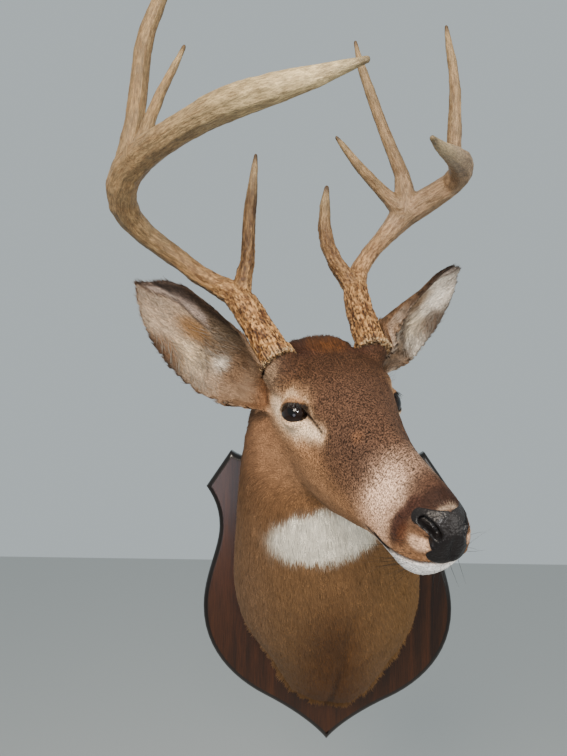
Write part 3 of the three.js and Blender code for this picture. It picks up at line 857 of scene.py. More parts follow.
def mark_ear(coat, side):
    """A dark back and edge, a pale cup, and brown folds in it with painted shade in their creases."""
    share, rise, distance, _, _, opening = ear_chart(coat.head, side)
    on_ear = beside_ear(coat.head, share, distance, 62, 0.12) * above(coat.p[:, 0], 66, 3)
    inside = above(coat.up @ opening, -0.05, 0.1)
    within, outside = on_ear * inside, on_ear * (1 - inside)
    wobble = coat.wobble

    def cup_spot(hex_colour, strength, centre, radii, ragged=0.15):
        """Lays a colour in the cup; centre and radii are in hundredths of the length and in mm of rise."""
        away = np.hypot((share * 100 - centre[0]) / radii[0], (rise - centre[1]) / radii[1])
        coat.lay(hex_colour, strength * within * fade(away + ragged * wobble, 1, 0.2))

    coat.lay("#6a4f37", on_ear)
    coat.lay("#3f2c20", outside * above(share, 0.72, 0.06))
    coat.lay("#6b5039", 0.7 * outside * fade(share, 0.30, 0.05) * fade(coat.up[:, 2], -0.1, 0.2))
    # both cups have one pale hair: painted shade greys the right one, painted light pales the left
    coat.lay("#a08c76" if side == "right" else "#efe2d0", within)
    grey_tip = above(share + 0.010 * rise + 0.05 * wobble, 0.80, 0.07) * fade(rise, 8, 4)
    coat.lay("#5f5247", 0.85 * within * grey_tip)
    cup_spot("#cdb898", 0.85, (50, -20), (11, 12))
    cup_spot("#5c412b", 0.9, (64, -30), (13, 10))
    cup_spot("#75542f", 0.9, (57, 3), (14, 12))
    # the upper fold with its shaded crease, and the dark band above it
    fold = rise - np.interp(share, (0.50, 0.60, 0.72, 0.82, 0.90, 0.97), (12, 17, 17, 15, 8, 5))
    past_middle = above(share, 0.50, 0.03)
    coat.lay("#9c8a7f", 0.9 * within * above(fold, 0, 1.2) * past_middle)
    shaded = bump(fold, 2.2) * (0.45 + 0.55 * above(share, 0.78, 0.05))
    coat.lay("#3b2a1f", 0.9 * within * shaded * past_middle)
    brink = np.interp(share, (0.30, 0.44, 0.51, 0.60, 0.71, 0.86), (-24, -8, 11, 29, 36, 40))
    coat.lay("#62513f", 0.97 * within * above(rise - brink - (0 if side == "right" else -14), 0, 1.5))
    # painted shade in the crease of the fold at the cup's root
    root_fold = bump(rise + 2 + (0.50 - share) * 200, 5) * above(share, 0.36, 0.02) * fade(share, 0.52, 0.02)
    coat.lay("#33231a", 0.85 * within * root_fold)
    cup_spot("#e2d8c8", 0.9, (33.5, -12), (4, 8), 0.12)
    coat.lay("#6f553f", 0.75 * on_ear * fade(share, 0.31, 0.03))
    edge = above(ear_reach(share, distance), 0.73 + 0.19 * fade(share, 0.53, 0.10), 0.05)
    coat.lay("#2d211a", 0.9 * on_ear * edge * above(share, 0.35, 0.05))


def markings(co, normals):
    """The coat's colour at each point, linear: the hide is painted with it and the locks take it over."""
    coat = Coat(co, normals)
    mark_neck(coat)
    mark_face(coat)
    mark_eyes(coat)
    mark_muzzle(coat)
    coat.lay("#e6decb", 0.97 * throat_share(coat))
    for side in EAR_AXES:
        mark_ear(coat, side)
    return coat.colours * (1 + 0.05 * coat.patch + 0.05 * coat.wobble)[:, None]


def grizzled(head):
    """1 on the upper face, where dark and pale hairs are mixed most, 0 elsewhere."""
    p = folded(head)
    upper = fade(p[:, 1], 60, 14) * above(p[:, 2], -42, 12) * above(p[:, 1], -152, 6) * fade(p[:, 2], 80, 10)
    ring = np.maximum(fade(blob(p, *BROW_RING), 1.0, 0.1), fade(path_distance(p, RING_LINE)[0], 17, 3))
    return upper * (1 - 0.6 * ring) * (1 - 0.5 * above(p[:, 1], 10, 20))


def lie_of_hair(co, normals):
    """The way the hair points, along the surface."""
    head = to_head(co)
    back = HEAD_AXES @ np.array((0, 1, 0.0))
    on_head = fade(head[:, 1], 62, 16) * above(head[:, 2], -125, 14)
    flow = on_head[:, None] * back + (1 - on_head)[:, None] * unit(DOWN_NECK)
    for side in EAR_AXES:
        share, distance, direction, _ = ear_places(head, side)
        on_ear = beside_ear(head, share, distance, 62, 0.10)[:, None]
        flow = flow * (1 - on_ear) + direction @ HEAD_AXES.T * on_ear
    return unit(flow - normals * (flow * normals).sum(1)[:, None])


# ---- the skin ---------------------------------------------------------------
FLESH = ("shoulder", "neck", "head", "ear_right", "ear_left", "nose")


def coat_depth(head, co):
    """How far the skin lies under the coat's surface, mm."""
    on_head = fade(head[:, 1], 70, 18) * above(head[:, 2], -130, 16)
    depth = 3.4 * (1 - on_head) + 1.3 * on_head * (1 - 0.6 * fade(head[:, 1], -125, 12))
    for side in EAR_AXES:                               # the ear is a thin shell down to its root
        share, distance, _, _ = ear_places(head, side)
        thin = fade(distance, 54, 6) * above(share, 0.04, 0.05)
        depth = depth * (1 - thin) + 0.4 * thin
    return depth * fade(co[:, 1] * 1000, -34, 4)


def finer(bm, inside):
    """Cuts every edge in half whose two ends are marked."""
    edges = [e for e in bm.edges if inside[e.verts[0].index] and inside[e.verts[1].index]]
    bmesh.ops.subdivide_edges(bm, edges=edges, cuts=1, use_grid_fill=True)
    bmesh.ops.triangulate(bm, faces=[f for f in bm.faces if len(f.verts) > 3])
    bm.verts.index_update()


def bm_points(bm):
    return np.array([v.co[:] for v in bm.verts])


def shaped_body(co):
    """Draws the cape in towards its point at the bottom and sets the seam down the brisket."""
    place = co * 1000
    X, Y, Z = place.T
    low = fade(-Y, 190, 60)
    for side, centre, radii in ((1, (-82, -60, -70), (48, 120, 62)), (-1, (92, -60, -72), (44, 120, 62))):
        drawn = 13 * bump(blob(place, centre, radii), 1.0) * low
        place[:, 0] += side * drawn
        place[:, 2] += 0.6 * drawn
    place[:, 0] -= 9 * bump(blob(place, (-118, -100, 60), (40, 90, 90)), 1.0)
    ragged = bump(Y + 22, 26) * fade(Z, 0, 25)
    place[:, 2] += 5 * ragged * noise_at(place * (1, 0.3, 1), 22, 2, 8.0)
    seam = 14 + 0.14 * (Z + 60)
    place[:, 1] += 6 * bump(X - seam, 7) * fade(Z, 10, 25) * fade(Y, -60, 30)
    place[:, 1] += 6 * bump(X + 8, 30) * bump(Z + 40, 55) * fade(Y, -110, 30)
    return place * MM


def joined_flesh(size):
    """One closed skin over all the soft parts, evened out where they met."""
    soft = FLESH + ("eye_right", "eye_left")
    swell = dict.fromkeys(soft, size.swell)
    swell["ear_right"] = swell["ear_left"] = 1.6 * size.swell
    skin = voxel_skin(copy_of_nodes(soft, swell), "deer_skin", size.voxel)
    co, edges = points_of(skin.data), edges_of(skin.data)
    head = to_head(co)
    ears = ear_share(head)
    on_head = fade(head[:, 1], 75, 14) * above(head[:, 2], -130, 14)
    co = relax(co, edges, 1 - ears * 0.5, 14)
    co = relax(co, edges, (1 - ears) * (1 - on_head), 60)
    behind_jaw = fade(blob(folded(head), (44, 30, -84), (34, 46, 44)), 1.0, 0.14) * (1 - ears)
    co = relax(co, edges, behind_jaw, 190, shares=(0.5,))
    co = shaped_body(co)
    set_points(skin.data, co)
    # fewer faces where the long coat hides the skin
    group = skin.vertex_groups.new(name="body")
    plain = np.nonzero((ears < 0.1) & (head[:, 1] > 30) & (co[:, 1] > -0.36))[0]
    group.add(plain.tolist(), 1.0, "REPLACE")
    fewer = skin.modifiers.new("fewer", "DECIMATE")
    fewer.ratio, fewer.vertex_group, fewer.vertex_group_factor = size.body_share, "body", 100.0
    return finished(skin)


def unwrap(piece):
    """Gives the piece the UV map that its colours are baked on."""
    piece.data.uv_layers.new(name="OFBake")
    bpy.context.view_layer.objects.active = piece
    piece.select_set(True)
    bpy.ops.object.mode_set(mode="EDIT")
    bpy.ops.mesh.select_all(action="SELECT")
    bpy.ops.uv.smart_project(angle_limit=math.radians(66), island_margin=0.001)
    bpy.ops.object.mode_set(mode="OBJECT")
    piece.select_set(False)


def build_skin(size):
    """The joined flesh sunk under the coat, cut finer at the eyes and muzzle, and sculpted there."""
    skin = joined_flesh(size)
    mesh = skin.data
    co = points_of(mesh)
    co = co - normals_of(mesh) * (coat_depth(to_head(co), co) * MM)[:, None]
    co[:, 1] = np.where(co[:, 1] > BACK_REACH, HIDE_BACK, co[:, 1])
    set_points(mesh, co)
    bm = bmesh.new()
    bm.from_mesh(mesh)
    bmesh.ops.triangulate(bm, faces=bm.faces[:])
    for reach, muzzle in ((31, -126), (25, -170)):
        head = to_head(bm_points(bm))
        finer(bm, (eye_distance(head) < reach) | (head[:, 1] < muzzle))
    bm.to_mesh(mesh)
    bm.free()
    co, edges = points_of(mesh), edges_of(mesh)
    head = to_head(co)
    detail = np.maximum(fade(eye_distance(head), 30, 2), fade(head[:, 1], -120, 4))
    co = relax(co, edges, detail, 16)
    co = shaped_head(co)
    co = relax(co, edges, detail * 0.7, 2)
    set_points(mesh, co)
    smooth_shaded(mesh)
    head = to_head(co)
    colours = markings(co, normals_of(mesh))
    colours = colours + (linear("#141214") - colours) * pad_share(head)[:, None]
    paint(mesh, "coat", colours)
    store(mesh, "grizzle", "FLOAT", 0.35 + 0.65 * grizzled(head))
    unwrap(skin)
    mesh.materials.append(hide_material())
    fix(skin, "hide", "shoulder", "neck", "head", "ear_right", "ear_left")
    return skin


def build_nose(skin):
    """The bare nose: the skin's own surface over the pad, lifted a little to stand clear of the hair."""
    bm = bmesh.new()
    bm.from_mesh(skin.data)
    share = pad_share(to_head(bm_points(bm)))
    haired = [f for f in bm.faces if min(share[v.index] for v in f.verts) < 0.02]
    bmesh.ops.delete(bm, geom=haired, context="FACES")
    bmesh.ops.delete(bm, geom=[v for v in bm.verts if not v.link_faces], context="VERTS")
    bm.normal_update()
    share = pad_share(to_head(bm_points(bm)))
    for i, v in enumerate(list(bm.verts)):
        v.co += v.normal * (0.7 * share[i] - 0.25) * MM
    mesh = mesh_from(bm, "nose_pad")
    for layer in list(mesh.color_attributes):
        mesh.color_attributes.remove(layer)
    head = to_head(points_of(mesh))
    leather = Paint("#120f0f", len(head))
    leather.colours *= (1 + 0.35 * noise_at(head, 5, 3))[:, None]
    # painted sheen on the upper part of the wet nose
    leather.lay("#2b2827", 0.5 * above(head[:, 2], 6, 4))
    # painted shade in the nostrils' pits
    leather.lay("#000000", 0.8 * fade(nostril_distance(folded(head)), 3.6, 0.6))
    paint(mesh, "coat", leather.colours)
    smooth_shaded(mesh)
    mesh.materials.clear()
    mesh.materials.append(nose_material())
    fix(new_object("nose_pad", mesh), "nose_pad", "nose")


def build_eye(name, side, size):
    """A glass eye with a slight cornea, a spoked iris and a wide level pupil."""
    centre, gaze, _, _ = eye_frame(side)
    bm = bmesh.new()
    bmesh.ops.create_icosphere(bm, subdivisions=6, radius=EYE_RADIUS)
    mesh = mesh_from(bm, name)
    ball = points_of(mesh)
    way = unit(ball)
    ahead = np.degrees(np.arccos(np.clip(way @ gaze, -1, 1)))
    ball = ball + way * (0.5 * bump(ahead, 38))[:, None]
    set_points(mesh, from_head(ball + centre))
    forward = np.array((0.0, -1.0, 0.0))
    level = unit(forward - gaze * (gaze @ forward))
    swing, lift = np.degrees(way @ level), np.degrees(way @ np.cross(gaze, level))
    around = np.arctan2(lift, swing)
    spokes = 0.5 + 0.5 * np.sin(around * 38 + 3 * np.sin(around * 11))
    glass = Paint("#000000", len(ball))
    glass.colours += np.array(size.iris) * (0.75 + 0.5 * spokes)[:, None]
    glass.lay("#060403", above(ahead, 40, 3))
    glass.lay("#060404", fade(np.hypot(swing / 20, lift / 11), 1.0, 0.03))
    paint(mesh, "coat", glass.colours)
    smooth_shaded(mesh)
    mesh.materials.append(eye_material())
    fix(new_object(name, mesh), "eye_glass", name.replace("glass_", ""))


# ---- locks of hair ----------------------------------------------------------
NECK_LOCKS = 48000                                 # most locks in one piece of the neck's coat
MOST_PER_MM2 = 1.4                                 # most locks to a square millimetre
TUFT = 0.003                                       # width of one lock on the UV map


class Hide:
    """The finished skin as arrays, with everything a lock of hair takes from its root."""

    def __init__(self, skin):
        mesh = skin.data
        mesh.calc_loop_triangles()
        count = len(mesh.loop_triangles)
        self.tri = np.zeros(count * 3, int)
        loops = np.zeros(count * 3, int)
        mesh.loop_triangles.foreach_get("vertices", self.tri)
        mesh.loop_triangles.foreach_get("loops", loops)
        self.tri, loops = self.tri.reshape(-1, 3), loops.reshape(-1, 3)
        self.co, self.normal = points_of(mesh), normals_of(mesh)
        flat = np.zeros(len(mesh.loops) * 2)
        mesh.uv_layers["OFBake"].data.foreach_get("uv", flat)
        self.uv = flat.reshape(-1, 2)[loops]
        colours = np.zeros(len(self.co) * 4)
        mesh.color_attributes["coat"].data.foreach_get("color", colours)
        self.colour = colours.reshape(-1, 4)[:, :3]
        self.head = to_head(self.co)
        self.lie = lie_of_hair(self.co, self.normal)
        a, b, c = (self.co[self.tri[:, k]] for k in range(3))
        self.area = np.linalg.norm(np.cross(b - a, c - a), axis=1) / 2 * 1e6             # mm2

    def roots(self, per_mm2, rng):
        """Random roots with that many to a square millimetre at each vertex."""
        weight = self.area * per_mm2[self.tri].mean(1)
        total = int(weight.sum())
        pick = rng.choice(len(weight), total, p=weight / weight.sum())
        u, v = rng.random(total), rng.random(total)
        turn = u + v > 1
        u[turn], v[turn] = 1 - u[turn], 1 - v[turn]
        share = np.stack([1 - u - v, u, v], 1)[:, :, None]
        corner = self.tri[pick]

        def mix(values):
            return (values[corner] * share).sum(1)

        return {
            "co": mix(self.co), "normal": unit(mix(self.normal)), "lie": unit(mix(self.lie)),
            "colour": mix(self.colour), "uv": (self.uv[pick] * share).sum(1), "vertex": corner[:, 0],
        }


def locks(
    name, material, slot, root, length, width, lift, sag, sway, root_shade, tip_shade, segments=1, soft=0.7,
):
    """Joined solid locks: each a three-sided taper that leaves its root along the lie of the coat.
    Lengths and widths are in mm, lift and sag in mm per mm of length."""
    count = len(length)
    normal, lie = root["normal"], root["lie"]
    side = np.cross(normal, lie)
    steps = np.linspace(0, 1, segments + 1)
    per = 3 * segments + 1
    points = np.zeros((count, per, 3))
    shade = np.zeros((count, per))
    face_normal = np.zeros((count, per, 3))
    spots = np.zeros((per, 2))
    for k, s in enumerate(steps):
        run = length * MM * s
        middle = (
            root["co"]
            + lie * run[:, None]
            + normal * (run * (lift - sag * s) - 0.0003)[:, None]
            + side * (run * sway * s)[:, None]
        )
        half = width * MM * 0.5 * (1 - s ** 1.6)
        # locks are painted darker at the root than the tip, as painted shade where they cover each other
        tone = root_shade + (tip_shade - root_shade) * s
        if k == segments:
            points[:, -1], shade[:, -1] = middle, tone
            face_normal[:, -1], spots[-1] = normal, (0, 0.5)
            continue
        for j, (across, out) in enumerate(((-1, 0), (1, 0), (0, 0.8))):
            corner = 3 * k + j
            points[:, corner] = middle + side * (half * across)[:, None] + normal * (half * out)[:, None]
            shade[:, corner] = tone
            face_normal[:, corner] = unit(normal * soft + side * across * (1 - soft) + lie * 0.15)
            spots[corner] = (0.5 * across, s - 0.5)
    faces = [(0, 1, 2)]
    for k in range(segments - 1):
        a, b = 3 * k, 3 * k + 3
        for i, j in ((1, 0), (2, 1), (0, 2)):
            faces += [(a + i, a + j, b + j), (a + i, b + j, b + i)]
    a = 3 * (segments - 1)
    faces += [(a + 1, a, per - 1), (a + 2, a + 1, per - 1), (a, a + 2, per - 1)]
    faces = np.array(faces)[:, ::-1]
    corners = (faces.ravel()[None, :] + per * np.arange(count)[:, None]).ravel()
    mesh = bpy.data.meshes.new(name)
    mesh.vertices.add(count * per)
    mesh.loops.add(len(corners))
    mesh.polygons.add(len(corners) // 3)
    mesh.vertices.foreach_set("co", points.ravel())
    mesh.loops.foreach_set("vertex_index", corners)
    mesh.polygons.foreach_set("loop_start", np.arange(0, len(corners), 3))
    mesh.update(calc_edges=True)
    colours = root["colour"][:, None, :] * shade[:, :, None]
    paint(mesh, "coat", colours.reshape(-1, 3))
    layer = mesh.uv_layers.new(name="OFBake")
    where = root["uv"][:, None, :] + spots[None, :, :] * TUFT
    layer.data.foreach_set("uv", where.reshape(-1, 2)[corners].ravel())
    smooth_shaded(mesh)
    if soft:
        mesh.normals_split_custom_set_from_vertices(face_normal.reshape(-1, 3))
    mesh.materials.append(material)
    fix(new_object(name, mesh), slot)


def build_hem(hide, size):
    """The cape's lower edge: longer locks in clumps that hang over the board."""
    rng = np.random.default_rng(SEED + 4)
    Y = hide.co[:, 1] * 1000
    low = fade(hide.co[:, 2] * 1000, -20, 22)
    near_board = fade(-Y, 38, 2) * (hide.co[:, 1] < HEM_FRONT)
    root = hide.roots((0.10 + 0.35 * low) * near_board * size.thickness, rng)
    count = len(root["vertex"])
    place = root["co"] * 1000
    clump = noise_at(place, 11, 2, 6.0)
    low = low[root["vertex"]]
    middle = bump(place[:, 0] - 8, 16) * fade(place[:, 2], -120, 8)
    outward = unit(root["normal"] * (1, 0.0, 1) + 1e-6) * (0.35 + 0.45 * low)[:, None]
    root["lie"] = unit(outward + np.array((0, 0.32, -0.45)) + rng.normal(0, 0.08, (count, 3)))
    root["normal"] = unit(root["normal"] + np.array((0, -0.5, 0)))
    length = 7 + 3 * low + 7 * clump * low + 6 * middle + rng.uniform(-2, 2, count)
    tone = 1 + 0.15 * clump + rng.normal(0, 0.14, count)
    width, sway = rng.uniform(0.8, 1.6, count), rng.normal(0, 0.16, count)
    coat = bpy.data.materials["deer_winter_coat"]
    # the darker roots are painted shade under the other locks
    locks(
        "hem_hair", coat, "hide", root, np.clip(length, 4, 22), width, 0.06 + 0.10 * clump, 0.05, sway,
        tone * 0.8, tone * 1.15, segments=2,
    )


def hair_length(hide):
    """Length of hair at each vertex, mm."""
    head, Y = hide.head, hide.co[:, 1] * 1000
    on_head = fade(head[:, 1], 74, 14) * above(head[:, 2], -112, 12)
    length = 13.0 - 7 * on_head
    length = length - (length - 3.9) * on_head * fade(head[:, 1], 12, 26)
    length = length - (length - 3.8) * on_head * fade(head[:, 1], -120, 12)
    for side in (-1, 1):
        close = fade(lid_places(head, side)[0], 36, 3) * on_head
        length = length - (length - 2.8) * close
    length = length + 1.5 * above(Y, -50, 12) * (1 - on_head)
    length = length + 7 * fade(blob(head, (-4, 62, 46), (34, 20, 24)), 1.0, 0.15)
    ears = ear_share(head)
    return length * (1 - ears) + 6.5 * ears


def bare(hide):
    """1 where no hair grows: inside the lids, on the pad, in the mouth line, against the board."""
    head = hide.head
    p = folded(head)
    lip, _ = path_distance(p, MOUTH_LINE)
    tear, nostril = fade(tear_distance(p), 1.8, 0.4), fade(nostril_distance(p), 4.5, 0.5)
    naked = [pad_share(head), fade(lip, 1.3, 0.3), tear, nostril]
    for side in (-1, 1):
        radius, _, _, arc = lid_places(head, side)
        naked.append(fade(radius, 24, 1) * fade(arc, 2.2, 0.3))
    return np.maximum.reduce([*naked, (hide.co[:, 1] > COAT_FRONT) * 1.0])


def lock_tones(place, clump, flecked, ears, rng):
    """Lightness of each lock: uneven everywhere, with dark and pale hairs mixed in on the face and ears."""
    count = len(place)
    tone = 1 + 0.10 * clump + rng.normal(0, 0.10, count)
    draw = rng.random(count)
    mixed = 0.15 + 0.10 * flecked
    tone = np.where(draw < mixed, tone * 0.68, tone)
    tone = np.where(draw > 1 - mixed * 0.8, tone * (1.3 + 0.5 * flecked), tone)
    # locks close together share their shade there, so that specks about 2 mm wide remain
    flecked = np.maximum(flecked, 0.45 * ears)
    near_face = np.nonzero(flecked > 0.05)[0]
    speck = np.zeros(count)
    speck[near_face] = noise_at(place[near_face], 1.15, 1, 21.0)
    pale, dark = np.clip((speck - 0.02) / 0.14, 0, 1), np.clip((-0.06 - speck) / 0.16, 0, 1)
    return tone * (1 + flecked * (1.8 * pale - 0.62 * dark))


def coat_pieces(place, head, ears):
    """The coat in pieces of one mesh each: slices along the neck, and each half of the face and each ear."""
    on_head = (~ears) & (head[:, 1] < 66) & (head[:, 2] > -108)
    order = np.argsort(place @ DOWN_NECK)
    on_neck = order[~(ears | on_head)[order]]
    slices = np.array_split(on_neck, int(np.ceil(len(on_neck) / NECK_LOCKS)))
    pieces = [(f"neck_coat_{i + 1}", "hide", chosen) for i, chosen in enumerate(slices)]
    for name, slot, here in (("face_coat", "hide", on_head), ("ear_coat", "ear_hide", ears)):
        pieces.append((f"{name}_right", slot, np.nonzero(here & (head[:, 0] < 0))[0]))
        pieces.append((f"{name}_left", slot, np.nonzero(here & (head[:, 0] >= 0))[0]))
    return pieces


def build_coat(hide, size):
    """The coat: locks as long, broad and close as the hair is at each place."""
    rng = np.random.default_rng(SEED)
    material = coat_material()
    length_at = hair_length(hide)
    width_at = 0.50 + 0.056 * length_at
    cover = 1.7 + 2.6 * np.clip((length_at - 5) / 7, 0, 1)
    per_mm2 = cover / (0.5 * width_at * length_at) * (1 - bare(hide)) * size.thickness
    root = hide.roots(np.minimum(per_mm2, MOST_PER_MM2), rng)
    v = root["vertex"]
    count = len(v)
    length = length_at[v] * rng.uniform(0.65, 1.25, count)
    width = width_at[v] * rng.uniform(0.7, 1.3, count)
    place, head, ears = root["co"] * 1000, hide.head[v], ear_share(hide.head)[v]
    clump = noise_at(place, 11, 2, 3.0)
    lift = np.clip(0.15 + 0.10 * clump + rng.normal(0, 0.035, count), 0.04, 0.42)
    sway = 0.16 * noise_at(place, 17, 2, 9.0) + rng.normal(0, 0.07, count)
    sway = sway * (0.5 + 0.5 * np.clip((length_at[v] - 4) / 9, 0, 1))
    tone = lock_tones(place, clump, grizzled(head), ears, rng)
    for name, slot, chosen in coat_pieces(place, head, ears > 0.5):
        some = {key: value[chosen] for key, value in root.items()}
        # the darker roots are painted shade under the other locks
        locks(
            name, material, slot, some, length[chosen], width[chosen], lift[chosen], 0.10, sway[chosen],
            tone[chosen] * 0.80, tone[chosen] * 1.10, soft=0.0 if slot == "ear_hide" else 0.7,
        )


def build_ear_hair(hide, size):
    """Long pale hair inside the ears, which grows from both rims and the root and lies across the cup."""
    rng = np.random.default_rng(SEED + 1)
    up = hide.normal @ HEAD_AXES
    for side in EAR_AXES:
        share, rise, distance, along, _, opening = ear_chart(hide.head, side)
        same = hide.head[:, 0] * (-1 if side == "right" else 1) > 60
        inside = above(up @ opening, 0.1, 0.08) * same * above(share, 0.30, 0.02) * fade(distance, 46, 2)
        inside = inside * fade(rise, 12, 4)
        edge = np.clip(ear_reach(share, distance), 0, 1.3)
        wanted = 0.016 + 0.055 * above(edge, 0.62, 0.08) + 0.06 * fade(share, 0.48, 0.04)
        root = hide.roots(inside * fade(share, 0.93, 0.02) * wanted * size.ear_hair, rng)
        v = root["vertex"]
        count = len(v)
        near_rim = np.clip((edge[v] - 0.45) / 0.4, 0, 1)
        inward = unit(ear_middle(side, share[v]) - hide.head[v]) * (0.95 * near_rim)[:, None]
        lie = unit(along[v] + inward + rng.normal(0, 0.10, (count, 3))) @ HEAD_AXES.T
        root["lie"] = unit(lie - root["normal"] * (lie * root["normal"]).sum(1)[:, None])
        length = rng.uniform(13, 25, count) * (1 - 0.45 * np.clip((share[v] - 0.55) / 0.4, 0, 1))
        width = rng.uniform(0.45, 0.85, count)
        root["colour"] = root["colour"] * 0.65 + linear("#cfc2b0") * 0.35
        lift, sway = rng.uniform(0.10, 0.34, count), rng.normal(0, 0.22, count)
        # the darker roots are painted shade under the other hairs
        root_shade, tip_shade = 0.82 * rng.uniform(0.8, 1.1, count), 1.12 * rng.uniform(0.8, 1.15, count)
        locks(
            f"inner_ear_hair_{side}", bpy.data.materials["deer_winter_coat"], "ear_hide", root, length, width,
            lift, 0.16, sway, root_shade, tip_shade, segments=3, soft=0.0,
        )


def build_whiskers(hide, size):
    """Black whiskers of the muzzle and chin, a few over the eye, and the upper lashes."""
    rng = np.random.default_rng(SEED + 2)
    head = hide.head
    p = folded(head)
    muzzle = fade(p[:, 1], -142, 4) * fade(pad_share(head), 0.02, 0.005) * fade(lip_line(p), 17, 3)
    brow, lash = np.zeros(len(head)), np.zeros(len(head))
    for side in (-1, 1):
        radius, swing, lifted, arc = lid_places(head, side)
        brow = np.maximum(brow, bump(arc - 14, 2.5) * (lifted > 10) * fade(radius, 36, 1))
        lash = np.maximum(lash, bump(arc - 1.3, 0.6) * (lifted > 4) * (radius < 22) * (np.abs(swing) < 62))
    tufts = (                                           # roots to a mm2, length, width, lift, sag and sway
        ("muzzle_whiskers", 0.011 * muzzle, (9, 24), 0.32, (0.7, 1.2), -0.10, 0.3),
        ("brow_whiskers", 0.016 * brow, (14, 26), 0.32, (0.8, 1.3), 0.15, 0.3),
        ("upper_lashes", 1.1 * lash, (5.5, 9), 0.42, (0.5, 0.9), 0.25, 0.15),
    )
    material = whisker_material(size)
    for name, wanted, lengths, width, lifts, sag, sway in tufts:
        root = hide.roots(wanted, rng)
        count = len(root["vertex"])
        if name == "upper_lashes":                      # lashes point ahead and a little down
            side = np.where(head[root["vertex"], :1] < 0, -1.0, 1.0)
            gaze = unit(GAZE) * np.hstack([side, np.ones((count, 2))])
            out = (gaze + np.array((0, -0.25, -0.35))) @ HEAD_AXES.T
            root["lie"] = unit(out - root["normal"] * (out * root["normal"]).sum(1)[:, None])
        root["colour"] = np.full((count, 3), 0.01)
        length, lift = rng.uniform(*lengths, count), rng.uniform(*lifts, count)
        even, swayed = np.ones(count), rng.normal(0, sway, count)
        locks(
            name, material, "hide", root, length, even * width, lift, sag, swayed, even, even, segments=4,
        )


# ---- antlers ----------------------------------------------------------------
def branch_frames(path):
    """A smooth branch line with two crosswise directions carried along it without twist."""
    line = curve_through(path, 8)
    tangent = unit(np.gradient(line, axis=0))
    across = [unit(np.cross(tangent[0], (0.3, 0.2, 1.0)))]
    for t in tangent[1:]:
        across.append(unit(across[-1] - t * (across[-1] @ t)))
    across = np.array(across)
    return line, across, np.cross(tangent, across)


def antler_chart(head, branches):
    """For each point: mm along the nearest branch, its distance from the centre line, its share of the
    branch's length, which branch it is, and where it is crosswise."""
    count = len(head)
    best = np.full(count, 1e9)
    along, share, which = np.zeros(count), np.zeros(count), np.zeros(count, int)
    cross = np.zeros((count, 2))
    for number, path in enumerate(branches):
        line, across, third = branch_frames(path)
        distance, s = path_distance(head, line)
        steps = np.r_[0, np.cumsum(np.linalg.norm(np.diff(line, axis=0), axis=1))]
        near = distance < best - (0 if number == 0 else 1.5)
        i = np.clip(np.searchsorted(steps, s) - 1, 0, len(line) - 2)
        t = ((s - steps[i]) / np.maximum(steps[i + 1] - steps[i], 1e-6))[:, None]
        middle, a, b = (values[i] * (1 - t) + values[i + 1] * t for values in (line, across, third))
        away = head - middle
        best[near], along[near], which[near] = distance[near], s[near], number
        share[near] = (s / steps[-1])[near]
        cross[near] = np.c_[(away * a).sum(1), (away * b).sum(1)][near]
    return along, best, share, which, cross


def beads(points, size):
    """Rounded grains of about the size given, 0 in the grooves and 1 on top."""
    return np.array([1 - min(noise.voronoi(Vector(p) / size)[0][0] * 1.45, 1.0) ** 2 for p in points])


BURR_BEADS = 30


def add_burr(bm, branches, radius):
    """The flared foot of an antler with its ring of beads, sunk in the hair of the skull; radius in mm."""
    start, aim = burr_axis(branches)
    turn = Vector(HEAD_AXES @ aim).to_track_quat("Z", "Y").to_matrix().to_4x4()

    def put(verts, middle):
        bmesh.ops.transform(bm, matrix=Matrix.Translation(from_head(middle)) @ turn, verts=verts)

    foot = bmesh.ops.create_cone(
        bm, cap_ends=True, segments=40, radius1=(radius - 1.5) * MM, radius2=(radius - 4) * MM, depth=26 * MM,
    )
    put(foot["verts"], start + 4 * aim)
    rng = np.random.default_rng(SEED + 3)
    for i in range(BURR_BEADS):
        angle = 2 * math.pi * (i + 0.3 * rng.random()) / BURR_BEADS
        bead = bmesh.ops.create_icosphere(bm, subdivisions=2, radius=rng.uniform(1.9, 2.9) * MM)["verts"]
        out = (radius * MM * math.cos(angle), radius * MM * math.sin(angle), 0)
        bmesh.ops.translate(bm, verts=bead, vec=out)
        put(bead, start + (rng.uniform(-1, 1) - 7) * aim)


def stained_bone(side, chart, head, relief):
    """Rubbed bone: palest on the beam's forward reach, stained where it is rough and in the grooves."""
    along, _, share, which, _ = chart
    from_burr, rough, ridges, waves, pearls, fine = relief
    start, aim = burr_axis(ANTLERS[side])
    bone = Paint(ANTLER_BONE[side], len(along))
    forward = above(along, 470, 40) * (which == 0)
    bone.lay("#ffe8b0", 0.95 * forward)
    bone.lay("#9b7e54", 0.6 * (which > 0) * above(share, 0.25, 0.1))
    bone.lay("#7a6649", 0.5 * above(waves, -0.1, 0.12) * (1 - forward))
    bone.lay("#d79e60", 0.85 * rough)
    bone.lay("#e0b478", 0.6 * rough * np.clip(pearls * 1.5 - 0.6, 0, 1))
    bone.lay("#573215", (0.35 + 0.6 * rough) * fade(ridges, -0.20, 0.07))
    bone.lay("#472711", 0.6 * rough * fade(pearls, 0.34, 0.08))
    brow = (which == 1) * above(share, 0.2, 0.1)
    bone.lay("#4b2f16", BROW_STAIN[side] * brow * fade(ridges, 0.35, 0.3))
    crown = fade(from_burr, 24, 2) * fade(np.abs((head - start) @ aim + 7), 3.2, 0.5)
    bone.lay("#d2ba91", 0.85 * crown * above(fine, 0.45, 0.1))                            # the burr's beads
    bone.lay("#473626", 0.8 * above(share, 0.965, 0.012))  # worn dark at the point
    bone.lay("#b0976e", 0.5 * above(share, 0.80, 0.06) * fade(share, 0.955, 0.01))
    return bone.colours


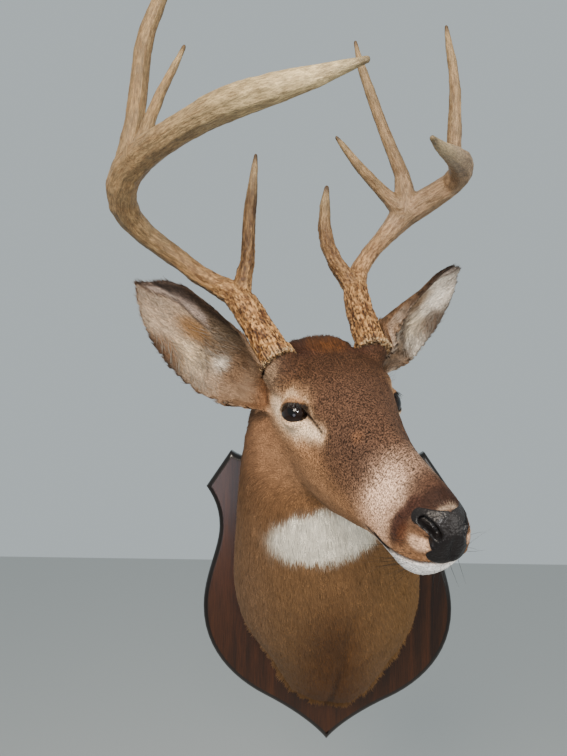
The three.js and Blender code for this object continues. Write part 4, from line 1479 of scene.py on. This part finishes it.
def build_antler(side, size):
    """One antler: its branches joined and rounded, ridged along their length and beaded near the foot."""
    names = [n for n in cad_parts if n.startswith(f"antler_{side}_")]
    branches = ANTLERS[side]
    bm = copy_of_nodes(names, 0.4 * MM)
    add_burr(bm, branches, size.burr * 1000)
    piece = voxel_skin(bm, f"antler_{side}", size.antler_voxel)
    mesh = piece.data
    bm = bmesh.new()
    bm.from_mesh(mesh)
    bmesh.ops.triangulate(bm, faces=bm.faces[:])
    bm.to_mesh(mesh)
    bm.free()
    co, edges = points_of(mesh), edges_of(mesh)
    head = to_head(co)
    chart = antler_chart(head, branches)
    along, away, share, _, cross = chart
    start, aim = burr_axis(branches)
    from_burr = np.linalg.norm(head - (start - 8 * aim), axis=1)
    tip = above(share, 0.93, 0.015) * fade(away, 6, 1)
    co = relax(co, edges, (1 - 0.9 * tip) * (1 - 0.8 * fade(from_burr, 24, 3)), 14)
    set_points(mesh, co)
    normals = normals_of(mesh)
    head = to_head(co)
    ridges = noise_at(np.c_[cross, along / 7], 2.3, 3)
    waves = noise_at(head, 16, 2, 4.0)
    rough = np.clip(1.15 - (from_burr - 25) / 130, 0, 1)
    low = rough > 0.02
    pearls, fine = np.zeros(len(head)), np.zeros(len(head))
    pearls[low] = beads(np.c_[cross, along / 1.9][low], 3.1)
    fine[low] = beads(head[low], 2.4)
    height = 0.55 * waves + (0.30 + 0.75 * rough) * ridges * np.clip(away / 7, 0.25, 1)
    height += rough * (1.15 * pearls - 0.6) + rough * (0.4 * fine - 0.2)
    height *= 1 - 0.7 * tip
    set_points(mesh, co + normals * (height * MM)[:, None])
    smooth_shaded(mesh)
    paint(mesh, "coat", stained_bone(side, chart, head, (from_burr, rough, ridges, waves, pearls, fine)))
    store(mesh, "grain", "FLOAT_VECTOR", np.c_[cross * GRAIN_ACROSS, along * GRAIN_ALONG])
    store(mesh, "rough", "FLOAT", rough)
    mesh.materials.append(bpy.data.materials.get("antler_bone_rubbed") or antler_material())
    fix(piece, "antler", *names)


# ---- the board --------------------------------------------------------------
BOARD_CURVES = (                                   # half the outline, mm: joined Bezier curves
    ((0, -236), (14, -219), (48, -193), (101, -168)),
    ((101, -168), (153, -143), (202, -97), (202, -26)),
    ((202, -26), (202, 25), (177, 65), (177, 103)),
    ((177, 103), (177, 130), (186, 149), (199.5, 168)),
    ((199.5, 168), (186.2, 187.7), (172.8, 207.3), (159.5, 227)),
    ((159.5, 227), (130, 206), (70, 206), (0, 222)),
)
BOARD_CUTS = (10, 12, 12, 6, 6, 12)                # pieces of each curve, none shorter than the edge is wide
EDGE_STAIN = 0.93


def build_board(size):
    """The shield board, with its front edge rounded over."""
    half = []
    for curve, count in zip(BOARD_CURVES, BOARD_CUTS):
        a, b, c, d = np.array(curve, float)
        for t in np.linspace(0, 1, count, endpoint=False):
            half.append((1 - t) ** 3 * a + 3 * t * (1 - t) ** 2 * b + 3 * t ** 2 * (1 - t) * c + t ** 3 * d)
    half.append(np.array(BOARD_CURVES[-1][-1], float))
    outline = half + [p * (-1, 1) for p in reversed(half[1:-1])]
    bm = bmesh.new()
    face = bm.faces.new([bm.verts.new((p[0] * MM, 0, p[1] * MM)) for p in outline])
    bm.normal_update()
    if face.normal.y > 0:
        face.normal_flip()
    back = bmesh.ops.extrude_face_region(bm, geom=[face])
    moved = [v for v in back["geom"] if isinstance(v, bmesh.types.BMVert)]
    front = [f for f in back["geom"] if isinstance(f, bmesh.types.BMFace)][0]
    bmesh.ops.translate(bm, verts=moved, vec=(0, -size.board, 0))
    bm.normal_update()
    bmesh.ops.bevel(
        bm, geom=front.edges[:], offset=size.board_edge, offset_type="OFFSET", segments=8, profile=0.5,
        affect="EDGES", material=-1, clamp_overlap=False,
    )
    bmesh.ops.recalc_face_normals(bm, faces=bm.faces[:])
    mesh = mesh_from(bm, "shield_board")
    flat = np.abs(points_of(mesh)[:, 1] + size.board) < 1e-5
    store(mesh, "edge", "FLOAT", np.where(flat, 0.0, EDGE_STAIN))
    rounded = [p.normal.y >= -0.999 for p in mesh.polygons]
    mesh.polygons.foreach_set("use_smooth", np.array(rounded, bool))
    mesh.materials.append(board_material(size))
    fix(new_object("shield_board", mesh), "walnut_board", "plaque_board")


# ---- the room ---------------------------------------------------------------
LIGHTS = (                                         # name, place, target, width, watts and colour
    ("key_light", (-0.55, -2.0, 1.2), (0, -0.25, 0.15), 0.7, 46, "#fff0de"),
    ("lamp_by_the_camera", (0.05, -1.35, 0.55), (0, -0.3, 0.25), 0.12, 5.5, "#ffffff"),
    ("low_lamp", (-0.62, -1.9, -0.05), (-0.15, 0, 0.1), 0.6, 4, "#f4f0ff"),
    ("fill_light", (1.5, -1.5, 0.5), (0, -0.25, 0.2), 1.2, 20, "#fbf6f0"),
)
CAMERA_PLACE = (-0.0392, -1.0112, 0.305)
CAMERA_TURN, CAMERA_RISE, CAMERA_ROLL = math.radians(1.92), math.radians(2.43), math.radians(0.34)
SENSOR = 36                                        # mm, along the frame's longer side
FRAME_HEIGHT, FOCAL_LENGTH = 756, 600              # pixels


def add_light(name, place, target, width, watts, hex_colour):
    data = bpy.data.lights.new(name, "AREA")
    data.shape, data.size, data.energy = "DISK", width, watts
    data.color = rgba(hex_colour)[:3]
    light = bpy.data.objects.new(name, data)
    bpy.context.scene.collection.objects.link(light)
    light.location = place
    light.rotation_euler = (Vector(target) - Vector(place)).to_track_quat("-Z", "Y").to_euler()


def add_camera():
    data = bpy.data.cameras.new("camera")
    data.sensor_width, data.lens = SENSOR, FOCAL_LENGTH / FRAME_HEIGHT * SENSOR
    data.clip_start, data.clip_end = 0.02, 60
    camera = bpy.data.objects.new("camera", data)
    bpy.context.scene.collection.objects.link(camera)
    camera.location = CAMERA_PLACE
    turn, rise, roll = CAMERA_TURN, CAMERA_RISE, CAMERA_ROLL
    ahead = Vector((-math.sin(turn) * math.cos(rise), math.cos(turn) * math.cos(rise), math.sin(rise)))
    level = Vector((math.cos(turn), math.sin(turn), 0))
    upright = level.cross(ahead)
    right = math.cos(roll) * level + math.sin(roll) * upright
    over = -math.sin(roll) * level + math.cos(roll) * upright
    camera.rotation_euler = Matrix((right, over, -ahead)).transposed().to_euler()
    bpy.context.scene.camera = camera


def build_room(size):
    """A pale floor under the mount, soft air light, four lamps and the camera."""
    bm = bmesh.new()
    bmesh.ops.create_grid(bm, x_segments=2, y_segments=2, size=6.0)
    bmesh.ops.translate(bm, verts=bm.verts[:], vec=(0, -1.0, size.floor))
    ground = new_object("floor", mesh_from(bm, "floor"))
    ground.data.materials.append(floor_material())
    world = bpy.data.worlds.new("room_air")
    bpy.context.scene.world = world
    world.use_nodes = True
    air = world.node_tree.nodes["Background"].inputs
    air["Color"].default_value, air["Strength"].default_value = rgba("#c5cfd2"), 0.85
    for light in LIGHTS:
        add_light(*light)
    add_camera()


# ---- the add-on -------------------------------------------------------------
class DeerSizes(bpy.types.PropertyGroup):
    """Sizes, amounts and colours of the mount's parts."""

    voxel: bpy.props.FloatProperty(
        name="Skin detail", description="Edge length of the joined skin's faces",
        default=0.0026, unit="LENGTH",
    )
    antler_voxel: bpy.props.FloatProperty(
        name="Antler detail", description="Edge length of the antlers' faces", default=0.0014, unit="LENGTH",
    )
    swell: bpy.props.FloatProperty(
        name="Joining swell", description="Growth that lets the parts of the hide run together",
        default=0.0005, unit="LENGTH",
    )
    body_share: bpy.props.FloatProperty(
        name="Body faces kept", description="Share of faces left after thinning under the long coat",
        default=0.44, subtype="FACTOR",
    )
    thickness: bpy.props.FloatProperty(
        name="Coat thickness", description="Number of locks against the usual number", default=1.0,
    )
    ear_hair: bpy.props.FloatProperty(
        name="Ear hair", description="Number of long hairs inside the ears against the usual number",
        default=1.0,
    )
    board: bpy.props.FloatProperty(
        name="Board thickness", description="Thickness of the shield board", default=0.022, unit="LENGTH",
    )
    board_edge: bpy.props.FloatProperty(
        name="Board edge", description="Width of the board's rounded edge", default=0.009, unit="LENGTH",
    )
    burr: bpy.props.FloatProperty(
        name="Burr radius", description="Radius of the ring of beads at each antler's foot",
        default=0.0185, unit="LENGTH",
    )
    floor: bpy.props.FloatProperty(
        name="Floor height", description="Height of the floor against the middle of the board",
        default=-1.25, unit="LENGTH",
    )
    wood_dark: bpy.props.FloatVectorProperty(
        name="Dark wood", description="The board's darker bands",
        default=tuple(linear("#1f1007")), subtype="COLOR",
    )
    wood_light: bpy.props.FloatVectorProperty(
        name="Light wood", description="The board's lighter bands",
        default=tuple(linear("#46250e")), subtype="COLOR",
    )
    iris: bpy.props.FloatVectorProperty(
        name="Iris", description="Colour of the glass eyes",
        default=tuple(linear("#1a0e07")), subtype="COLOR",
    )
    whiskers: bpy.props.FloatVectorProperty(
        name="Whiskers", description="Colour of whiskers and lashes", default=tuple(linear("#17120e")),
        subtype="COLOR",
    )


def sizes():
    return bpy.context.scene.deer_sizes


class DEER_OT_hide(bpy.types.Operator):
    """Joins the flesh into one skin with lids, nostrils and lips, and splits the bare nose from it"""

    bl_idname = "deer.build_hide"
    bl_label = "Build the hide"

    def execute(self, context):
        skin = build_skin(sizes())
        build_nose(skin)
        return {"FINISHED"}


class DEER_OT_eyes(bpy.types.Operator):
    """Sets the two glass eyes"""

    bl_idname = "deer.build_eyes"
    bl_label = "Set the eyes"

    def execute(self, context):
        build_eye("glass_eye_right", -1, sizes())
        build_eye("glass_eye_left", 1, sizes())
        return {"FINISHED"}


class DEER_OT_coat(bpy.types.Operator):
    """Lays the coat over the hide, with the ear hair, whiskers and lashes"""

    bl_idname = "deer.build_coat"
    bl_label = "Lay the coat"

    def execute(self, context):
        hide = Hide(bpy.data.objects["deer_skin"])
        for build in (build_coat, build_hem, build_ear_hair, build_whiskers):
            build(hide, sizes())
        return {"FINISHED"}


class DEER_OT_antlers(bpy.types.Operator):
    """Builds both antlers with their burrs, pearling and grooves"""

    bl_idname = "deer.build_antlers"
    bl_label = "Build the antlers"

    def execute(self, context):
        build_antler("right", sizes())
        build_antler("left", sizes())
        return {"FINISHED"}


class DEER_OT_board(bpy.types.Operator):
    """Builds the shield board with its routed edge"""

    bl_idname = "deer.build_board"
    bl_label = "Build the board"

    def execute(self, context):
        build_board(sizes())
        return {"FINISHED"}


class DEER_OT_room(bpy.types.Operator):
    """Adds the floor, the lights and the camera"""

    bl_idname = "deer.build_room"
    bl_label = "Set the stage"

    def execute(self, context):
        build_room(sizes())
        return {"FINISHED"}


class DEER_PT_panel(bpy.types.Panel):
    """Sizes and steps of the deer mount"""

    bl_label = "Deer Mount"
    bl_idname = "DEER_PT_panel"
    bl_space_type = "VIEW_3D"
    bl_region_type = "UI"
    bl_category = "Deer Mount"

    def draw(self, context):
        for name in DeerSizes.__annotations__:
            self.layout.prop(context.scene.deer_sizes, name)
        for step in STEPS:
            self.layout.operator(step.bl_idname)


STEPS = (DEER_OT_hide, DEER_OT_eyes, DEER_OT_coat, DEER_OT_antlers, DEER_OT_board, DEER_OT_room)
CLASSES = (DeerSizes, *STEPS, DEER_PT_panel)


def register():
    for item in CLASSES:
        bpy.utils.register_class(item)
    bpy.types.Scene.deer_sizes = bpy.props.PointerProperty(type=DeerSizes)


def unregister():
    del bpy.types.Scene.deer_sizes
    for item in reversed(CLASSES):
        bpy.utils.unregister_class(item)


def main():
    register()
    bpy.ops.deer.build_hide()
    bpy.ops.deer.build_eyes()
    bpy.ops.deer.build_coat()
    bpy.ops.deer.build_antlers()
    bpy.ops.deer.build_board()
    bpy.ops.deer.build_room()


if __name__ == "__main__":
    main()
